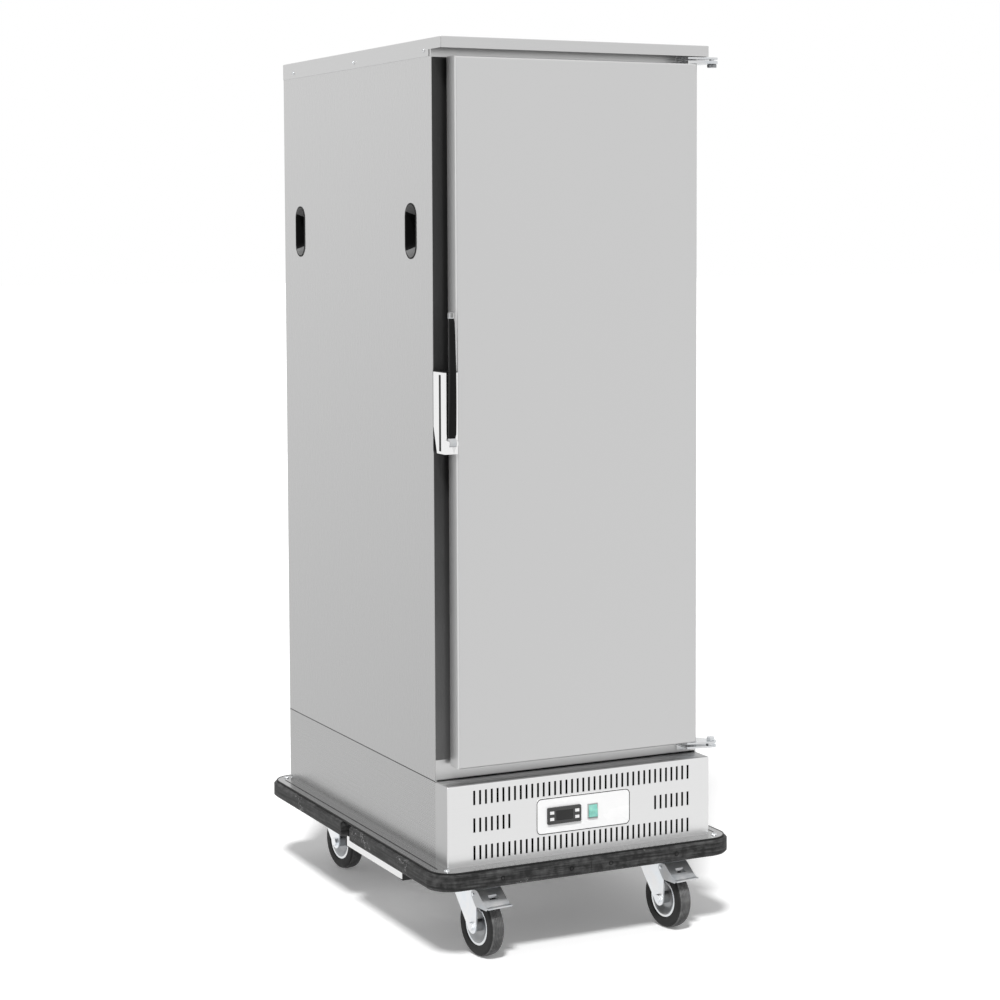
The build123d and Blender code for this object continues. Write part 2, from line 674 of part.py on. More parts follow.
def brake_pedal(place):
    """Bent foot plate between two cheeks on the pin, with a window and a shoe over the tyre."""
    knee_z = PIN_Z + PEDAL_RISE
    toe_z = PIN_Z - PEDAL_TOE_DROP
    line = Polyline(
        (-PEDAL_BACK, knee_z), (-PEDAL_KNEE, knee_z), (-PEDAL_TOE, toe_z), (-PEDAL_TIP, toe_z)
    )
    pedal = prism_x(trace(line, PEDAL_SHEET), -CHEEK_OUT, CHEEK_OUT)
    middle = (PEDAL_KNEE + PEDAL_TOE) / 2
    pedal -= slab(
        -PEDAL_WINDOW_WIDTH / 2, PEDAL_WINDOW_WIDTH / 2,
        -middle - PEDAL_WINDOW_LENGTH / 2, -middle + PEDAL_WINDOW_LENGTH / 2, toe_z, knee_z,
    )
    for x0, x1 in ((-CHEEK_OUT, -CHEEK_IN), (CHEEK_IN, CHEEK_OUT)):
        pedal += prism_x(pedal_cheek(), x0, x1)
    shoe_end = PEDAL_SHOE_START + PEDAL_SHOE_LENGTH
    shoe_low = PIN_Z - PEDAL_SHOE_DROP
    slope = (knee_z - toe_z) / (PEDAL_TOE - PEDAL_KNEE)
    shoe = Polygon(
        (-PEDAL_SHOE_START, shoe_low), (-PEDAL_SHOE_START, knee_z), (-PEDAL_KNEE, knee_z),
        (-shoe_end, knee_z - slope * (shoe_end - PEDAL_KNEE)), (-shoe_end, shoe_low),
        align=None,
    )
    pedal += prism_x(shoe, -PEDAL_SHOE_WIDTH / 2, PEDAL_SHOE_WIDTH / 2)
    pedal -= rod_x(-CHEEK_OUT, CHEEK_OUT, -PEDAL_PIN_FORWARD, PIN_Z, PEDAL_PIN_RADIUS + RUN_FIT)
    return [at_caster(place, pedal)]


def base_panels():
    """Side sheets of the machine compartment."""
    z1 = SEAM_Z - PANEL_SEAM / 2
    return [
        slab(-HALF_WIDTH, -INNER_X, BODY_FRONT, BACK, DECK_TOP, z1),
        slab(INNER_X, HALF_WIDTH, BODY_FRONT, BACK, DECK_TOP, z1),
    ]


def grip_prism(width, height, x0, x1):
    """Upright slot shapes at the two grips of one side, from x0 to x1."""
    outline = Sketch() + [
        Pos(y, GRIP_CUP_Z) * SlotOverall(height, width, rotation=90) for y in GRIP_CUP_YS
    ]
    return prism_x(outline, x0, x1)


def grip_span(side, depth):
    """Start and end in X of a pocket that is so deep from one side's face."""
    return sorted((side * HALF_WIDTH, side * (HALF_WIDTH - depth)))


def side_panels():
    """Outer side sheets with the cut-outs of the hand grips."""
    z0 = SEAM_Z + PANEL_SEAM / 2
    pieces = []
    for side in (-1, 1):
        across = grip_span(side, SHEET)
        sheet = slab(*across, BODY_FRONT, BACK, z0, ROOF_UNDER)
        pieces.append(sheet - grip_prism(GRIP_CUP_WIDTH, GRIP_CUP_HEIGHT, *across))
    return pieces


def grip_cups():
    """Four recessed cups set into the side sheets."""
    pieces = []
    for side in (-1, 1):
        outer = grip_prism(GRIP_CUP_WIDTH, GRIP_CUP_HEIGHT, *grip_span(side, GRIP_CUP_DEPTH))
        inner = grip_prism(
            GRIP_CUP_WIDTH - 2 * GRIP_CUP_WALL, GRIP_CUP_HEIGHT - 2 * GRIP_CUP_WALL,
            *grip_span(side, GRIP_CUP_DEPTH - GRIP_CUP_WALL),
        )
        pieces.extend((outer - inner).solids())
    return pieces


def back_panel():
    """Upper back sheet."""
    return [slab(-INNER_X, INNER_X, INNER_BACK, BACK, SEAM_Z + PANEL_SEAM / 2, ROOF_UNDER)]


def inlet_box(grow, y0, y1):
    """Block on the outline of the power inlet, grown on every side."""
    return slab(
        INLET_X - INLET_WIDTH / 2 - grow, INLET_X + INLET_WIDTH / 2 + grow, y0, y1,
        CONTROL_Z - INLET_HEIGHT / 2 - grow, CONTROL_Z + INLET_HEIGHT / 2 + grow,
    )


def rear_grille():
    """Lower back sheet with level air slots and the inlet's cut-out."""
    sheet = slab(-INNER_X, INNER_X, INNER_BACK, BACK, DECK_TOP, SEAM_Z - PANEL_SEAM / 2)
    first = CONTROL_Z - GRILLE_SLOT_PITCH * (GRILLE_SLOTS - 1) / 2
    x0 = INLET_X + INLET_WIDTH / 2 + GRILLE_SLOT_INLET_GAP
    x1 = HALF_WIDTH - GRILLE_SLOT_SIDE_INSET
    for row in range(GRILLE_SLOTS):
        z = first + row * GRILLE_SLOT_PITCH
        sheet -= slab(x0, x1, INNER_BACK, BACK, z - GRILLE_SLOT_HEIGHT / 2, z + GRILLE_SLOT_HEIGHT / 2)
    return [sheet - inlet_box(0, INNER_BACK, BACK)]


def power_inlet():
    """Appliance inlet with its socket open to the back."""
    body = inlet_box(0, BACK - INLET_DEPTH, BACK) + inlet_box(INLET_WALL / 2, BACK, BACK + INLET_PROUD)
    return [body - inlet_box(-INLET_WALL, BACK + INLET_PROUD - INLET_SOCKET_DEPTH, BACK + INLET_PROUD)]


def top_cover():
    """Folded cover: short lip in front, deeper lips along the sides and back, rounded bends."""
    x = HALF_WIDTH + SHEET
    front = BODY_FRONT - COVER_OVERHANG
    back = BACK + SHEET
    deep_z = TOP - COVER_SIDE_LIP
    block = slab(-x, x, front, back, deep_z, TOP)
    upright = block.edges().filter_by(Axis.Z)
    block = fillet(block.faces().sort_by(Axis.Z)[-1].edges() + upright, COVER_BEND)
    block -= slab(-HALF_WIDTH, HALF_WIDTH, front + SHEET, BACK, deep_z, ROOF_UNDER)
    return [block - slab(-x, x, front, BODY_FRONT + COVER_DEEP_START, deep_z, TOP - COVER_LIP)]


def line_holes(z0, z1):
    """Clearance for the two refrigerant lines that go up through the floor."""
    radius = LINE_RADIUS + LINE_HOLE_CLEAR
    return rod_z(-LINE_X, COIL_Y, z0, z1, radius) + rod_z(LINE_X, COIL_Y, z0, z1, radius)


def foam_side(side, foam_x):
    """Foam boards of one side, cut round the hand grips."""
    across = sorted((side * foam_x, side * INNER_X))
    behind = sorted((side * foam_x, side * (HALF_WIDTH - GRIP_CUP_DEPTH)))
    low = GRIP_CUP_Z - GRIP_CUP_HEIGHT / 2
    high = GRIP_CUP_Z + GRIP_CUP_HEIGHT / 2
    boards = [
        slab(*across, FRAME_BACK, INNER_BACK, FLOOR_UNDER, low),
        slab(*across, FRAME_BACK, INNER_BACK, high, ROOF_UNDER),
    ]
    start = FRAME_BACK
    for y in GRIP_CUP_YS:
        boards.append(slab(*across, start, y - GRIP_CUP_WIDTH / 2, low, high))
        boards.append(slab(*behind, y - GRIP_CUP_WIDTH / 2, y + GRIP_CUP_WIDTH / 2, low, high))
        start = y + GRIP_CUP_WIDTH / 2
    boards.append(slab(*across, start, INNER_BACK, low, high))
    return boards


def insulation():
    """Foam of the sides, back, top and floor."""
    foam_x = CHAMBER_X + SHEET
    foam_back = CHAMBER_BACK + SHEET
    pieces = []
    for side in (-1, 1):
        pieces.extend(foam_side(side, foam_x))
    pieces.append(slab(-foam_x, foam_x, foam_back, INNER_BACK, FLOOR_UNDER, ROOF_UNDER))
    pieces.append(slab(-foam_x, foam_x, FRAME_BACK, foam_back, CHAMBER_TOP + SHEET, ROOF_UNDER))
    floor = slab(-foam_x, foam_x, FRAME_BACK, foam_back, FLOOR_UNDER, CHAMBER_FLOOR - SHEET)
    floor -= line_holes(FLOOR_UNDER, CHAMBER_FLOOR)
    pieces.append(floor - rod_z(DRAIN_X, DRAIN_Y, FLOOR_UNDER, CHAMBER_FLOOR, DRAIN_RADIUS))
    return pieces


def inner_liner():
    """Inside sheets of the chamber and the sheet under its floor."""
    x = CHAMBER_X + SHEET
    y = CHAMBER_BACK + SHEET
    z0 = CHAMBER_FLOOR - SHEET
    z1 = CHAMBER_TOP + SHEET
    drain = rod_z(DRAIN_X, DRAIN_Y, SEAM_Z, CHAMBER_FLOOR, DRAIN_RADIUS)
    holes = line_holes(SEAM_Z, CHAMBER_FLOOR) + drain
    return [
        slab(-x, -CHAMBER_X, FRAME_BACK, y, z0, z1),
        slab(CHAMBER_X, x, FRAME_BACK, y, z0, z1),
        slab(-CHAMBER_X, CHAMBER_X, CHAMBER_BACK, y, z0, z1),
        slab(-CHAMBER_X, CHAMBER_X, FRAME_BACK, CHAMBER_BACK, CHAMBER_TOP, z1),
        slab(-CHAMBER_X, CHAMBER_X, FRAME_BACK, CHAMBER_BACK, z0, CHAMBER_FLOOR) - holes,
        slab(-INNER_X, INNER_X, BODY_FRONT, INNER_BACK, SEAM_Z, FLOOR_UNDER) - holes,
    ]


def breaker_frame():
    """Dark frame round the opening: two posts and two rails between them."""
    return [
        slab(-INNER_X, -CHAMBER_X, BODY_FRONT, FRAME_BACK, SILL_TOP, HEADER_BOTTOM),
        slab(CHAMBER_X, INNER_X, BODY_FRONT, FRAME_BACK, SILL_TOP, HEADER_BOTTOM),
        slab(-CHAMBER_X, CHAMBER_X, BODY_FRONT, FRAME_BACK, CHAMBER_TOP, HEADER_BOTTOM),
        slab(-CHAMBER_X, CHAMBER_X, BODY_FRONT, FRAME_BACK, SILL_TOP, CHAMBER_FLOOR),
    ]


def frame_channel(z0, z1):
    """Folded channel across the front, open to the back."""
    outer = slab(-INNER_X, INNER_X, BODY_FRONT, FRAME_BACK, z0, z1)
    return outer - slab(-INNER_X, INNER_X, BODY_FRONT + SHEET, FRAME_BACK, z0 + SHEET, z1 - SHEET)


def front_frame():
    """Steel header above the opening and sill below it."""
    return [frame_channel(HEADER_BOTTOM, ROOF_UNDER), frame_channel(FLOOR_UNDER, SILL_TOP)]


def slot_xs():
    """Places across of the slots in a full row."""
    first = CONTROL_X - SLOT_PITCH * (SLOT_COUNT - 1) / 2
    return [first + i * SLOT_PITCH for i in range(SLOT_COUNT)]


def fascia_block(inset, bend):
    """Block of the fascia's folded sheet, inset from its outside, with rounded bends."""
    x = HALF_WIDTH - inset
    block = slab(-x, x, FASCIA_FRONT + inset, BODY_FRONT, DECK_TOP, SEAM_Z - inset)
    front = block.faces().sort_by(Axis.Y)[0].edges().sort_by(Axis.Z)[1:]
    top = block.faces().sort_by(Axis.Z)[-1].edges().filter_by(Axis.Y)
    return fillet(front + top, bend)


def fascia():
    """Folded front box with three rows of upright slots and the control cut-outs."""
    box = fascia_block(0, FASCIA_BEND) - fascia_block(SHEET, FASCIA_BEND - SHEET)
    xs = slot_xs()
    ends = xs[:SLOT_END_COUNT] + xs[-SLOT_END_COUNT:]
    places = [(x, CONTROL_Z) for x in ends]
    for step in (-SLOT_ROW_STEP, SLOT_ROW_STEP):
        places.extend((x, CONTROL_Z + step) for x in xs)
    slots = Sketch() + [Pos(x, z) * Rectangle(SLOT_WIDTH, SLOT_LENGTH) for x, z in places]
    box -= extrude(front_plane(FASCIA_FRONT) * slots, -SHEET)
    return [box - thermostat_body() - rocker_body()]


def control_plate():
    """Rounded plate behind the thermostat and the switch."""
    outline = Pos(CONTROL_X, CONTROL_Z) * RectangleRounded(CONTROL_WIDTH, CONTROL_HEIGHT, CONTROL_RADIUS)
    plate = extrude(front_plane(FASCIA_FRONT) * outline, CONTROL_SHEET)
    return [plate - thermostat_body() - rocker_body()]


def thermostat_body():
    """Block of the thermostat behind its bezel."""
    half_w = THERMOSTAT_WIDTH / 2 - THERMOSTAT_BODY_INSET
    half_h = THERMOSTAT_HEIGHT / 2 - THERMOSTAT_BODY_INSET
    return slab(
        THERMOSTAT_X - half_w, THERMOSTAT_X + half_w, CONTROL_FRONT, CONTROL_FRONT + THERMOSTAT_BODY_DEPTH,
        CONTROL_Z - half_h, CONTROL_Z + half_h,
    )


def button_block(x, z, grow, y0, y1):
    """Block on the outline of one thermostat button."""
    x += THERMOSTAT_X
    z += CONTROL_Z
    half_w = BUTTON_WIDTH / 2 + grow
    half_h = BUTTON_HEIGHT / 2 + grow
    return slab(x - half_w, x + half_w, y0, y1, z - half_h, z + half_h)


def thermostat_case():
    """Bezel with the display's recess and the buttons' pockets, and the body behind it."""
    outline = RectangleRounded(THERMOSTAT_WIDTH, THERMOSTAT_HEIGHT, THERMOSTAT_BODY_INSET)
    outline = Pos(THERMOSTAT_X, CONTROL_Z) * outline
    case = extrude(front_plane(CONTROL_FRONT) * outline, THERMOSTAT_BEZEL) + thermostat_body()
    case -= slab(
        THERMOSTAT_X - DISPLAY_WIDTH / 2, THERMOSTAT_X + DISPLAY_WIDTH / 2,
        THERMOSTAT_FRONT, THERMOSTAT_FRONT + DISPLAY_RECESS,
        CONTROL_Z - DISPLAY_HEIGHT / 2, CONTROL_Z + DISPLAY_HEIGHT / 2,
    )
    floor = THERMOSTAT_FRONT + BUTTON_DEPTH + BUTTON_TRAVEL + MOVE_CLEAR
    for x, z in BUTTONS.values():
        case -= button_block(x, z, MOVE_CLEAR, THERMOSTAT_FRONT, floor)
    return [case]


def thermostat_button(place):
    """One key of the thermostat."""
    x, z = BUTTONS[place]
    return [button_block(x, z, 0, THERMOSTAT_FRONT - BUTTON_PROUD, THERMOSTAT_FRONT + BUTTON_DEPTH)]


def rocker_body():
    """Block of the switch behind its bezel."""
    half_w = ROCKER_WIDTH / 2 - ROCKER_FRAME / 2
    half_h = ROCKER_HEIGHT / 2 - ROCKER_FRAME / 2
    return slab(
        ROCKER_X - half_w, ROCKER_X + half_w, CONTROL_FRONT, CONTROL_FRONT + ROCKER_BODY_DEPTH,
        CONTROL_Z - half_h, CONTROL_Z + half_h,
    )


def rocker_bezel():
    """Switch housing with a pocket for the rocker."""
    half_w = ROCKER_WIDTH / 2
    half_h = ROCKER_HEIGHT / 2
    front = CONTROL_FRONT - ROCKER_BEZEL
    z0 = CONTROL_Z - half_h
    z1 = CONTROL_Z + half_h
    housing = slab(ROCKER_X - half_w, ROCKER_X + half_w, front, CONTROL_FRONT, z0, z1) + rocker_body()
    inner_w = half_w - ROCKER_FRAME
    inner_h = half_h - ROCKER_FRAME
    pocket = slab(
        ROCKER_X - inner_w, ROCKER_X + inner_w, front, CONTROL_FRONT + inner_h,
        CONTROL_Z - inner_h, CONTROL_Z + inner_h,
    )
    return [housing - pocket]


def power_rocker():
    """Rocker with a ridge in the middle, tilted to its rest side."""
    half_w = ROCKER_WIDTH / 2 - ROCKER_FRAME - MOVE_CLEAR
    reach = ROCKER_HEIGHT / 2 - ROCKER_FRAME - 2 * MOVE_CLEAR
    edge_z = (reach ** 2 - ROCKER_EDGE ** 2) ** 0.5
    back_z = (reach ** 2 - ROCKER_BACK ** 2) ** 0.5
    outline = Polygon(
        (-ROCKER_RIDGE, 0), (-ROCKER_EDGE, edge_z), (ROCKER_BACK, back_z), (ROCKER_BACK, -back_z),
        (-ROCKER_EDGE, -edge_z),
        align=None,
    )
    rocker = prism_x(outline, -half_w, half_w)
    return [Pos(ROCKER_X, CONTROL_FRONT, CONTROL_Z) * Rot(-ROCKER_TILT, 0, 0) * rocker]


def door_block(inset, y_back):
    """Block of the door's pan, inset from its outside, with rounded front edges."""
    x = DOOR_X - inset
    block = slab(-x, x, DOOR_FRONT + inset, y_back, DOOR_BOTTOM + inset, DOOR_TOP - inset)
    return fillet(block.faces().sort_by(Axis.Y)[0].edges(), DOOR_EDGE_ROUND - inset)


def door_skin():
    """Outer pan of the door."""
    return [door_block(0, DOOR_BACK) - door_block(SHEET, DOOR_BACK)]


def door_core():
    """Foam inside the door."""
    return [door_block(SHEET, DOOR_BACK - SHEET)]


def door_liner():
    """Inside sheet of the door."""
    x = DOOR_X - SHEET
    return [slab(-x, x, DOOR_BACK - SHEET, DOOR_BACK, DOOR_BOTTOM + SHEET, DOOR_TOP - SHEET)]


def door_gasket():
    """Door seal, one ring round the opening."""
    width = 2 * (DOOR_X - GASKET_INSET)
    height = DOOR_TOP - DOOR_BOTTOM - 2 * GASKET_INSET
    ring = Rectangle(width, height) - Rectangle(width - 2 * GASKET_WIDTH, height - 2 * GASKET_WIDTH)
    ring = Pos(0, (DOOR_TOP + DOOR_BOTTOM) / 2) * ring
    return [extrude(front_plane(DOOR_BACK) * ring, DOOR_GAP - GASKET_CLEAR, dir=(0, 1, 0))]


def hinge_arm(y_back, z0, z1):
    """Flat plate that narrows from its inner end to the round tip at the pin."""
    tip = Pos(HINGE_X, HINGE_Y) * Circle(HINGE_TIP_RADIUS)
    inner = HINGE_X - HINGE_ARM_REACH
    root = Polyline((inner, HINGE_Y), (inner, y_back), (INNER_X, y_back))
    return extrude(level(z0) * make_hull(tip.edges() + root.edges()), z1 - z0)


def door_hinge_plates():
    """Plates on the door's top and bottom edges that turn on the pins."""
    top = hinge_arm(HINGE_Y + HINGE_BACK_EDGE, DOOR_TOP, DOOR_TOP + HINGE_TOP_ARM)
    bottom = hinge_arm(HINGE_Y + HINGE_BACK_EDGE, DOOR_BOTTOM - HINGE_PLATE, DOOR_BOTTOM)
    radius = HINGE_PIN_RADIUS + RUN_FIT
    bore = rod_z(HINGE_X, HINGE_Y, DOOR_BOTTOM - HINGE_PLATE, DOOR_TOP + HINGE_TOP_ARM, radius)
    return [top - bore, bottom - bore]


def hinge_brackets():
    """Cabinet plates with their pins, the nut above and the washer and head below."""
    top_z = DOOR_TOP + HINGE_TOP_ARM + HINGE_TOP_GAP
    low_z = DOOR_BOTTOM - HINGE_PLATE - HINGE_BOTTOM_GAP
    tab_x = (HINGE_X - HINGE_ARM_REACH, INNER_X)
    tab_y = (BODY_FRONT - HINGE_TAB, BODY_FRONT)
    upper = hinge_arm(BODY_FRONT, top_z, top_z + HINGE_PLATE)
    upper += slab(*tab_x, *tab_y, top_z, top_z + HINGE_TAB_HEIGHT)
    lower = hinge_arm(BODY_FRONT, low_z - HINGE_PLATE, low_z)
    lower += slab(*tab_x, *tab_y, low_z - HINGE_TAB_HEIGHT, low_z)
    nut_top = DOOR_TOP - MOVE_CLEAR
    upper_pin = rod_z(HINGE_X, HINGE_Y, nut_top - HINGE_NUT, top_z + HINGE_PLATE, HINGE_PIN_RADIUS)
    head_bottom = DOOR_BOTTOM + MOVE_CLEAR
    lower_pin = rod_z(HINGE_X, HINGE_Y, low_z - HINGE_PLATE, head_bottom, HINGE_PIN_RADIUS)
    lower_pin += hexagon_z(HINGE_X, HINGE_Y, head_bottom, head_bottom + HINGE_NUT, HINGE_NUT_RADIUS)
    nut = hexagon_z(HINGE_X, HINGE_Y, nut_top - HINGE_NUT, nut_top, HINGE_NUT_RADIUS)
    washer = rod_z(HINGE_X, HINGE_Y, low_z, low_z + HINGE_BOTTOM_GAP - MOVE_CLEAR, HINGE_NUT_RADIUS)
    return [upper + upper_pin + nut, lower + lower_pin + washer]


def latch_lug(x0):
    """Lug in front of the latch that holds the lever's pin."""
    eye = Pos(PIVOT_Y, PIVOT_Z) * Circle(LUG_RADIUS)
    root = Polyline((LATCH_FRONT, LATCH_BOTTOM), (LATCH_FRONT, PIVOT_Z + LUG_RADIUS))
    return prism_x(make_hull(eye.edges() + root.edges()), x0, x0 + LUG_THICK)


def latch_body():
    """Hollow latch on the door's edge, open to the frame, with two lugs and the lever's pin."""
    foot_top = LATCH_BOTTOM + LATCH_FOOT
    body = slab(LATCH_LEFT, LATCH_RIGHT, LATCH_FRONT, LATCH_BACK, LATCH_BOTTOM, LATCH_TOP)
    body = fillet(body.edges().filter_by(Axis.Z).sort_by(Axis.X)[:2].sort_by(Axis.Y)[0], LATCH_ROUND)
    body -= slab(
        LATCH_LEFT + LATCH_WALL, LATCH_RIGHT - LATCH_WALL, LATCH_FRONT + LATCH_WALL, LATCH_BACK,
        foot_top, LATCH_TOP - LATCH_WALL,
    )
    heel = Polygon(
        (LATCH_BACK, LATCH_BOTTOM), (LATCH_BACK, LATCH_BOTTOM + LATCH_HEEL_RISE),
        (LATCH_BACK - LATCH_HEEL_CUT, LATCH_BOTTOM),
        align=None,
    )
    body -= prism_x(heel, LATCH_LEFT, LATCH_RIGHT)
    groove_y = LATCH_FRONT + LATCH_GROOVE_FROM_FRONT
    body -= slab(
        LATCH_LEFT, LATCH_LEFT + LATCH_GROOVE_DEPTH, groove_y, groove_y + LATCH_GROOVE,
        LATCH_BOTTOM + LATCH_GROOVE_END, LATCH_TOP - LATCH_GROOVE_END,
    )
    pin_left = LEVER_LEFT - MOVE_CLEAR - LUG_THICK
    pin_right = LEVER_RIGHT + MOVE_CLEAR + LUG_THICK
    body += latch_lug(pin_left) + latch_lug(pin_right - LUG_THICK)
    pin = rod_x(pin_left, pin_right, PIVOT_Y, PIVOT_Z, PIVOT_RADIUS)
    return [body - pin, pin]


def lever_bar():
    """Flat bar of the lever inside the grip."""
    y = GRIP_BACK - GRIP_END_DEPTH / 2
    return slab(
        LEVER_MID - LEVER_BAR_WIDTH / 2, LEVER_MID + LEVER_BAR_WIDTH / 2,
        y - LEVER_BAR_DEPTH / 2, y + LEVER_BAR_DEPTH / 2, GRIP_BOTTOM, GRIP_TOP,
    )


def latch_lever():
    """Eye on the pin with a neck, a bar through the grip and a rounded cap on top."""
    eye = Pos(PIVOT_Y, PIVOT_Z) * Circle(LEVER_EYE_RADIUS)
    half = LEVER_NECK_DEPTH / 2
    neck = Line((PIVOT_Y - half, GRIP_BOTTOM), (PIVOT_Y + half, GRIP_BOTTOM))
    lever = prism_x(make_hull(eye.edges() + neck.edges()), LEVER_LEFT, LEVER_RIGHT)
    lever -= rod_x(LEVER_LEFT, LEVER_RIGHT, PIVOT_Y, PIVOT_Z, PIVOT_RADIUS + RUN_FIT)
    cap = slab(
        LEVER_MID - GRIP_TOP_WIDTH / 2, LEVER_MID + GRIP_TOP_WIDTH / 2, GRIP_BACK - GRIP_END_DEPTH, GRIP_BACK,
        GRIP_TOP, GRIP_TOP + LEVER_CAP,
    )
    cap = chamfer(cap.faces().sort_by(Axis.Z)[-1].edges(), LEVER_CAP_ROUND)
    return [lever + lever_bar() + cap]


def latch_grip():
    """Hand grip on the lever's bar: bowed in front and narrower toward its top."""
    middle = (GRIP_BOTTOM + GRIP_TOP) / 2
    end_y = GRIP_BACK - GRIP_END_DEPTH
    front = ThreePointArc((end_y, GRIP_BOTTOM), (GRIP_BACK - GRIP_MID_DEPTH, middle), (end_y, GRIP_TOP))
    rest = Polyline((end_y, GRIP_TOP), (GRIP_BACK, GRIP_TOP), (GRIP_BACK, GRIP_BOTTOM), (end_y, GRIP_BOTTOM))
    grip = prism_x(make_face([front, *rest.edges()]), LEVER_LEFT, LEVER_RIGHT)
    taper = Polygon(
        (LEVER_LEFT, GRIP_BOTTOM), (LEVER_RIGHT, GRIP_BOTTOM), (LEVER_MID + GRIP_TOP_WIDTH / 2, GRIP_TOP),
        (LEVER_MID - GRIP_TOP_WIDTH / 2, GRIP_TOP),
        align=None,
    )
    grip &= extrude(front_plane(GRIP_BACK) * taper, GRIP_MID_DEPTH, dir=(0, -1, 0))
    along = grip.edges().filter_by(lambda edge: edge.length > GRIP_LENGTH / 2)
    return [chamfer(along, GRIP_CHAMFER) - lever_bar()]


def latch_keeper():
    """Plate on the frame with a hook that reaches into the latch."""
    z0 = HOOK_Z - KEEPER_HEIGHT / 2
    hook_x = (LATCH_MID - KEEPER_HOOK_WIDTH / 2, LATCH_MID + KEEPER_HOOK_WIDTH / 2)
    keeper = slab(
        LATCH_MID - KEEPER_WIDTH / 2, LATCH_MID + KEEPER_WIDTH / 2,
        BODY_FRONT - KEEPER_SHEET, BODY_FRONT, z0, z0 + KEEPER_HEIGHT,
    )
    keeper += slab(*hook_x, HOOK_FRONT, BODY_FRONT - KEEPER_SHEET, HOOK_Z, HOOK_Z + KEEPER_ARM)
    keeper += slab(*hook_x, HOOK_FRONT, HOOK_FRONT + KEEPER_LIP, HOOK_Z, HOOK_LIP_TOP)
    return [keeper]


def latch_bolt():
    """Sliding bolt whose tongue stands behind the keeper's lip."""
    block_z = HOOK_LIP_TOP + BOLT_OVER_LIP
    tongue_y = HOOK_FRONT + KEEPER_LIP + BOLT_GAP
    bolt = slab(
        LATCH_LEFT + LATCH_WALL + MOVE_CLEAR, LATCH_RIGHT - LATCH_WALL - MOVE_CLEAR,
        LATCH_FRONT + LATCH_WALL + MOVE_CLEAR, tongue_y + BOLT_TONGUE, block_z, block_z + BOLT_BLOCK,
    )
    bolt += slab(
        LATCH_MID - KEEPER_HOOK_WIDTH / 2, LATCH_MID + KEEPER_HOOK_WIDTH / 2,
        tongue_y, tongue_y + BOLT_TONGUE, HOOK_LIP_TOP - BOLT_TONGUE_DIP, block_z,
    )
    return [bolt]


def rack_upright(side, along):
    """Channel post, open to the wall."""
    across = sorted((side * (RUNNER_X + RUNNER_SHEET), side * UPRIGHT_X))
    hollow = sorted((side * (RUNNER_X + RUNNER_SHEET + UPRIGHT_SHEET), side * UPRIGHT_X))
    z0 = CHAMBER_FLOOR + RACK_FLOOR_GAP
    post = slab(*across, *along, z0, RACK_TOP)
    return post - slab(*hollow, along[0] + UPRIGHT_SHEET, along[1] - UPRIGHT_SHEET, z0, RACK_TOP)


def tray_racks():
    """Uprights, wall spacers and L-runners on both sides."""
    pieces = []
    for side in (-1, 1):
        web = sorted((side * RUNNER_X, side * (RUNNER_X + RUNNER_SHEET)))
        ledge = sorted((side * (RUNNER_X - RUNNER_LEDGE), side * (RUNNER_X + RUNNER_SHEET)))
        space = sorted((side * UPRIGHT_X, side * CHAMBER_X))
        for y in (RACK_FRONT + UPRIGHT_END_INSET, RACK_BACK - UPRIGHT_END_INSET):
            along = (y - UPRIGHT_WIDTH / 2, y + UPRIGHT_WIDTH / 2)
            pieces.append(rack_upright(side, along))
            for z in (CHAMBER_FLOOR + SPACER_END_INSET, RACK_TOP - SPACER_END_INSET):
                pieces.append(slab(*space, *along, z, z + SPACER_HEIGHT))
        for tier in range(TRAY_LEVELS):
            z = FIRST_TRAY_Z + tier * TRAY_STEP
            runner = slab(*web, RACK_FRONT, RACK_BACK, z, z + RUNNER_WEB)
            pieces.append(runner + slab(*ledge, RACK_FRONT, RACK_BACK, z, z + RUNNER_SHEET))
    return pieces


def fan_guard_gaps():
    """Open parts of the fan's hole between the rings and spokes of its guard."""
    radius = EVAPORATOR_FAN_RADIUS + FAN_HOLE_CLEAR
    step = radius / (GUARD_RINGS + 1)
    gaps = Circle(radius)
    for i in range(1, GUARD_RINGS + 1):
        gaps -= Circle(i * step + GUARD_WIRE / 2) - Circle(i * step - GUARD_WIRE / 2)
    for i in range(GUARD_SPOKES):
        gaps -= Rectangle(2 * radius, GUARD_WIRE, rotation=i * 180 / GUARD_SPOKES)
    return gaps


def air_duct():
    """Folded cover over the coil with the guarded fan hole above and return slots below."""
    x = CHAMBER_X - DUCT_MARGIN
    z0 = CHAMBER_FLOOR + DUCT_MARGIN
    z1 = CHAMBER_TOP - DUCT_MARGIN
    face_back = DUCT_FRONT + SHEET
    face = slab(-x, x, DUCT_FRONT, face_back, z0, z1)
    face -= extrude(front_plane(face_back) * Pos(0, EVAPORATOR_FAN_Z) * fan_guard_gaps(), SHEET)
    first = -DUCT_SLOT_PITCH * (DUCT_SLOT_COUNT - 1) / 2
    slot_z = CHAMBER_FLOOR + DUCT_SLOT_ABOVE_FLOOR
    for i in range(DUCT_SLOT_COUNT):
        sx = first + i * DUCT_SLOT_PITCH
        face -= slab(
            sx - DUCT_SLOT_WIDTH / 2, sx + DUCT_SLOT_WIDTH / 2, DUCT_FRONT, face_back,
            slot_z, slot_z + DUCT_SLOT_HEIGHT,
        )
    for x0, x1 in ((-x, -x + SHEET), (x - SHEET, x)):
        face += slab(x0, x1, face_back, CHAMBER_BACK, z0, z1)
    return [face]


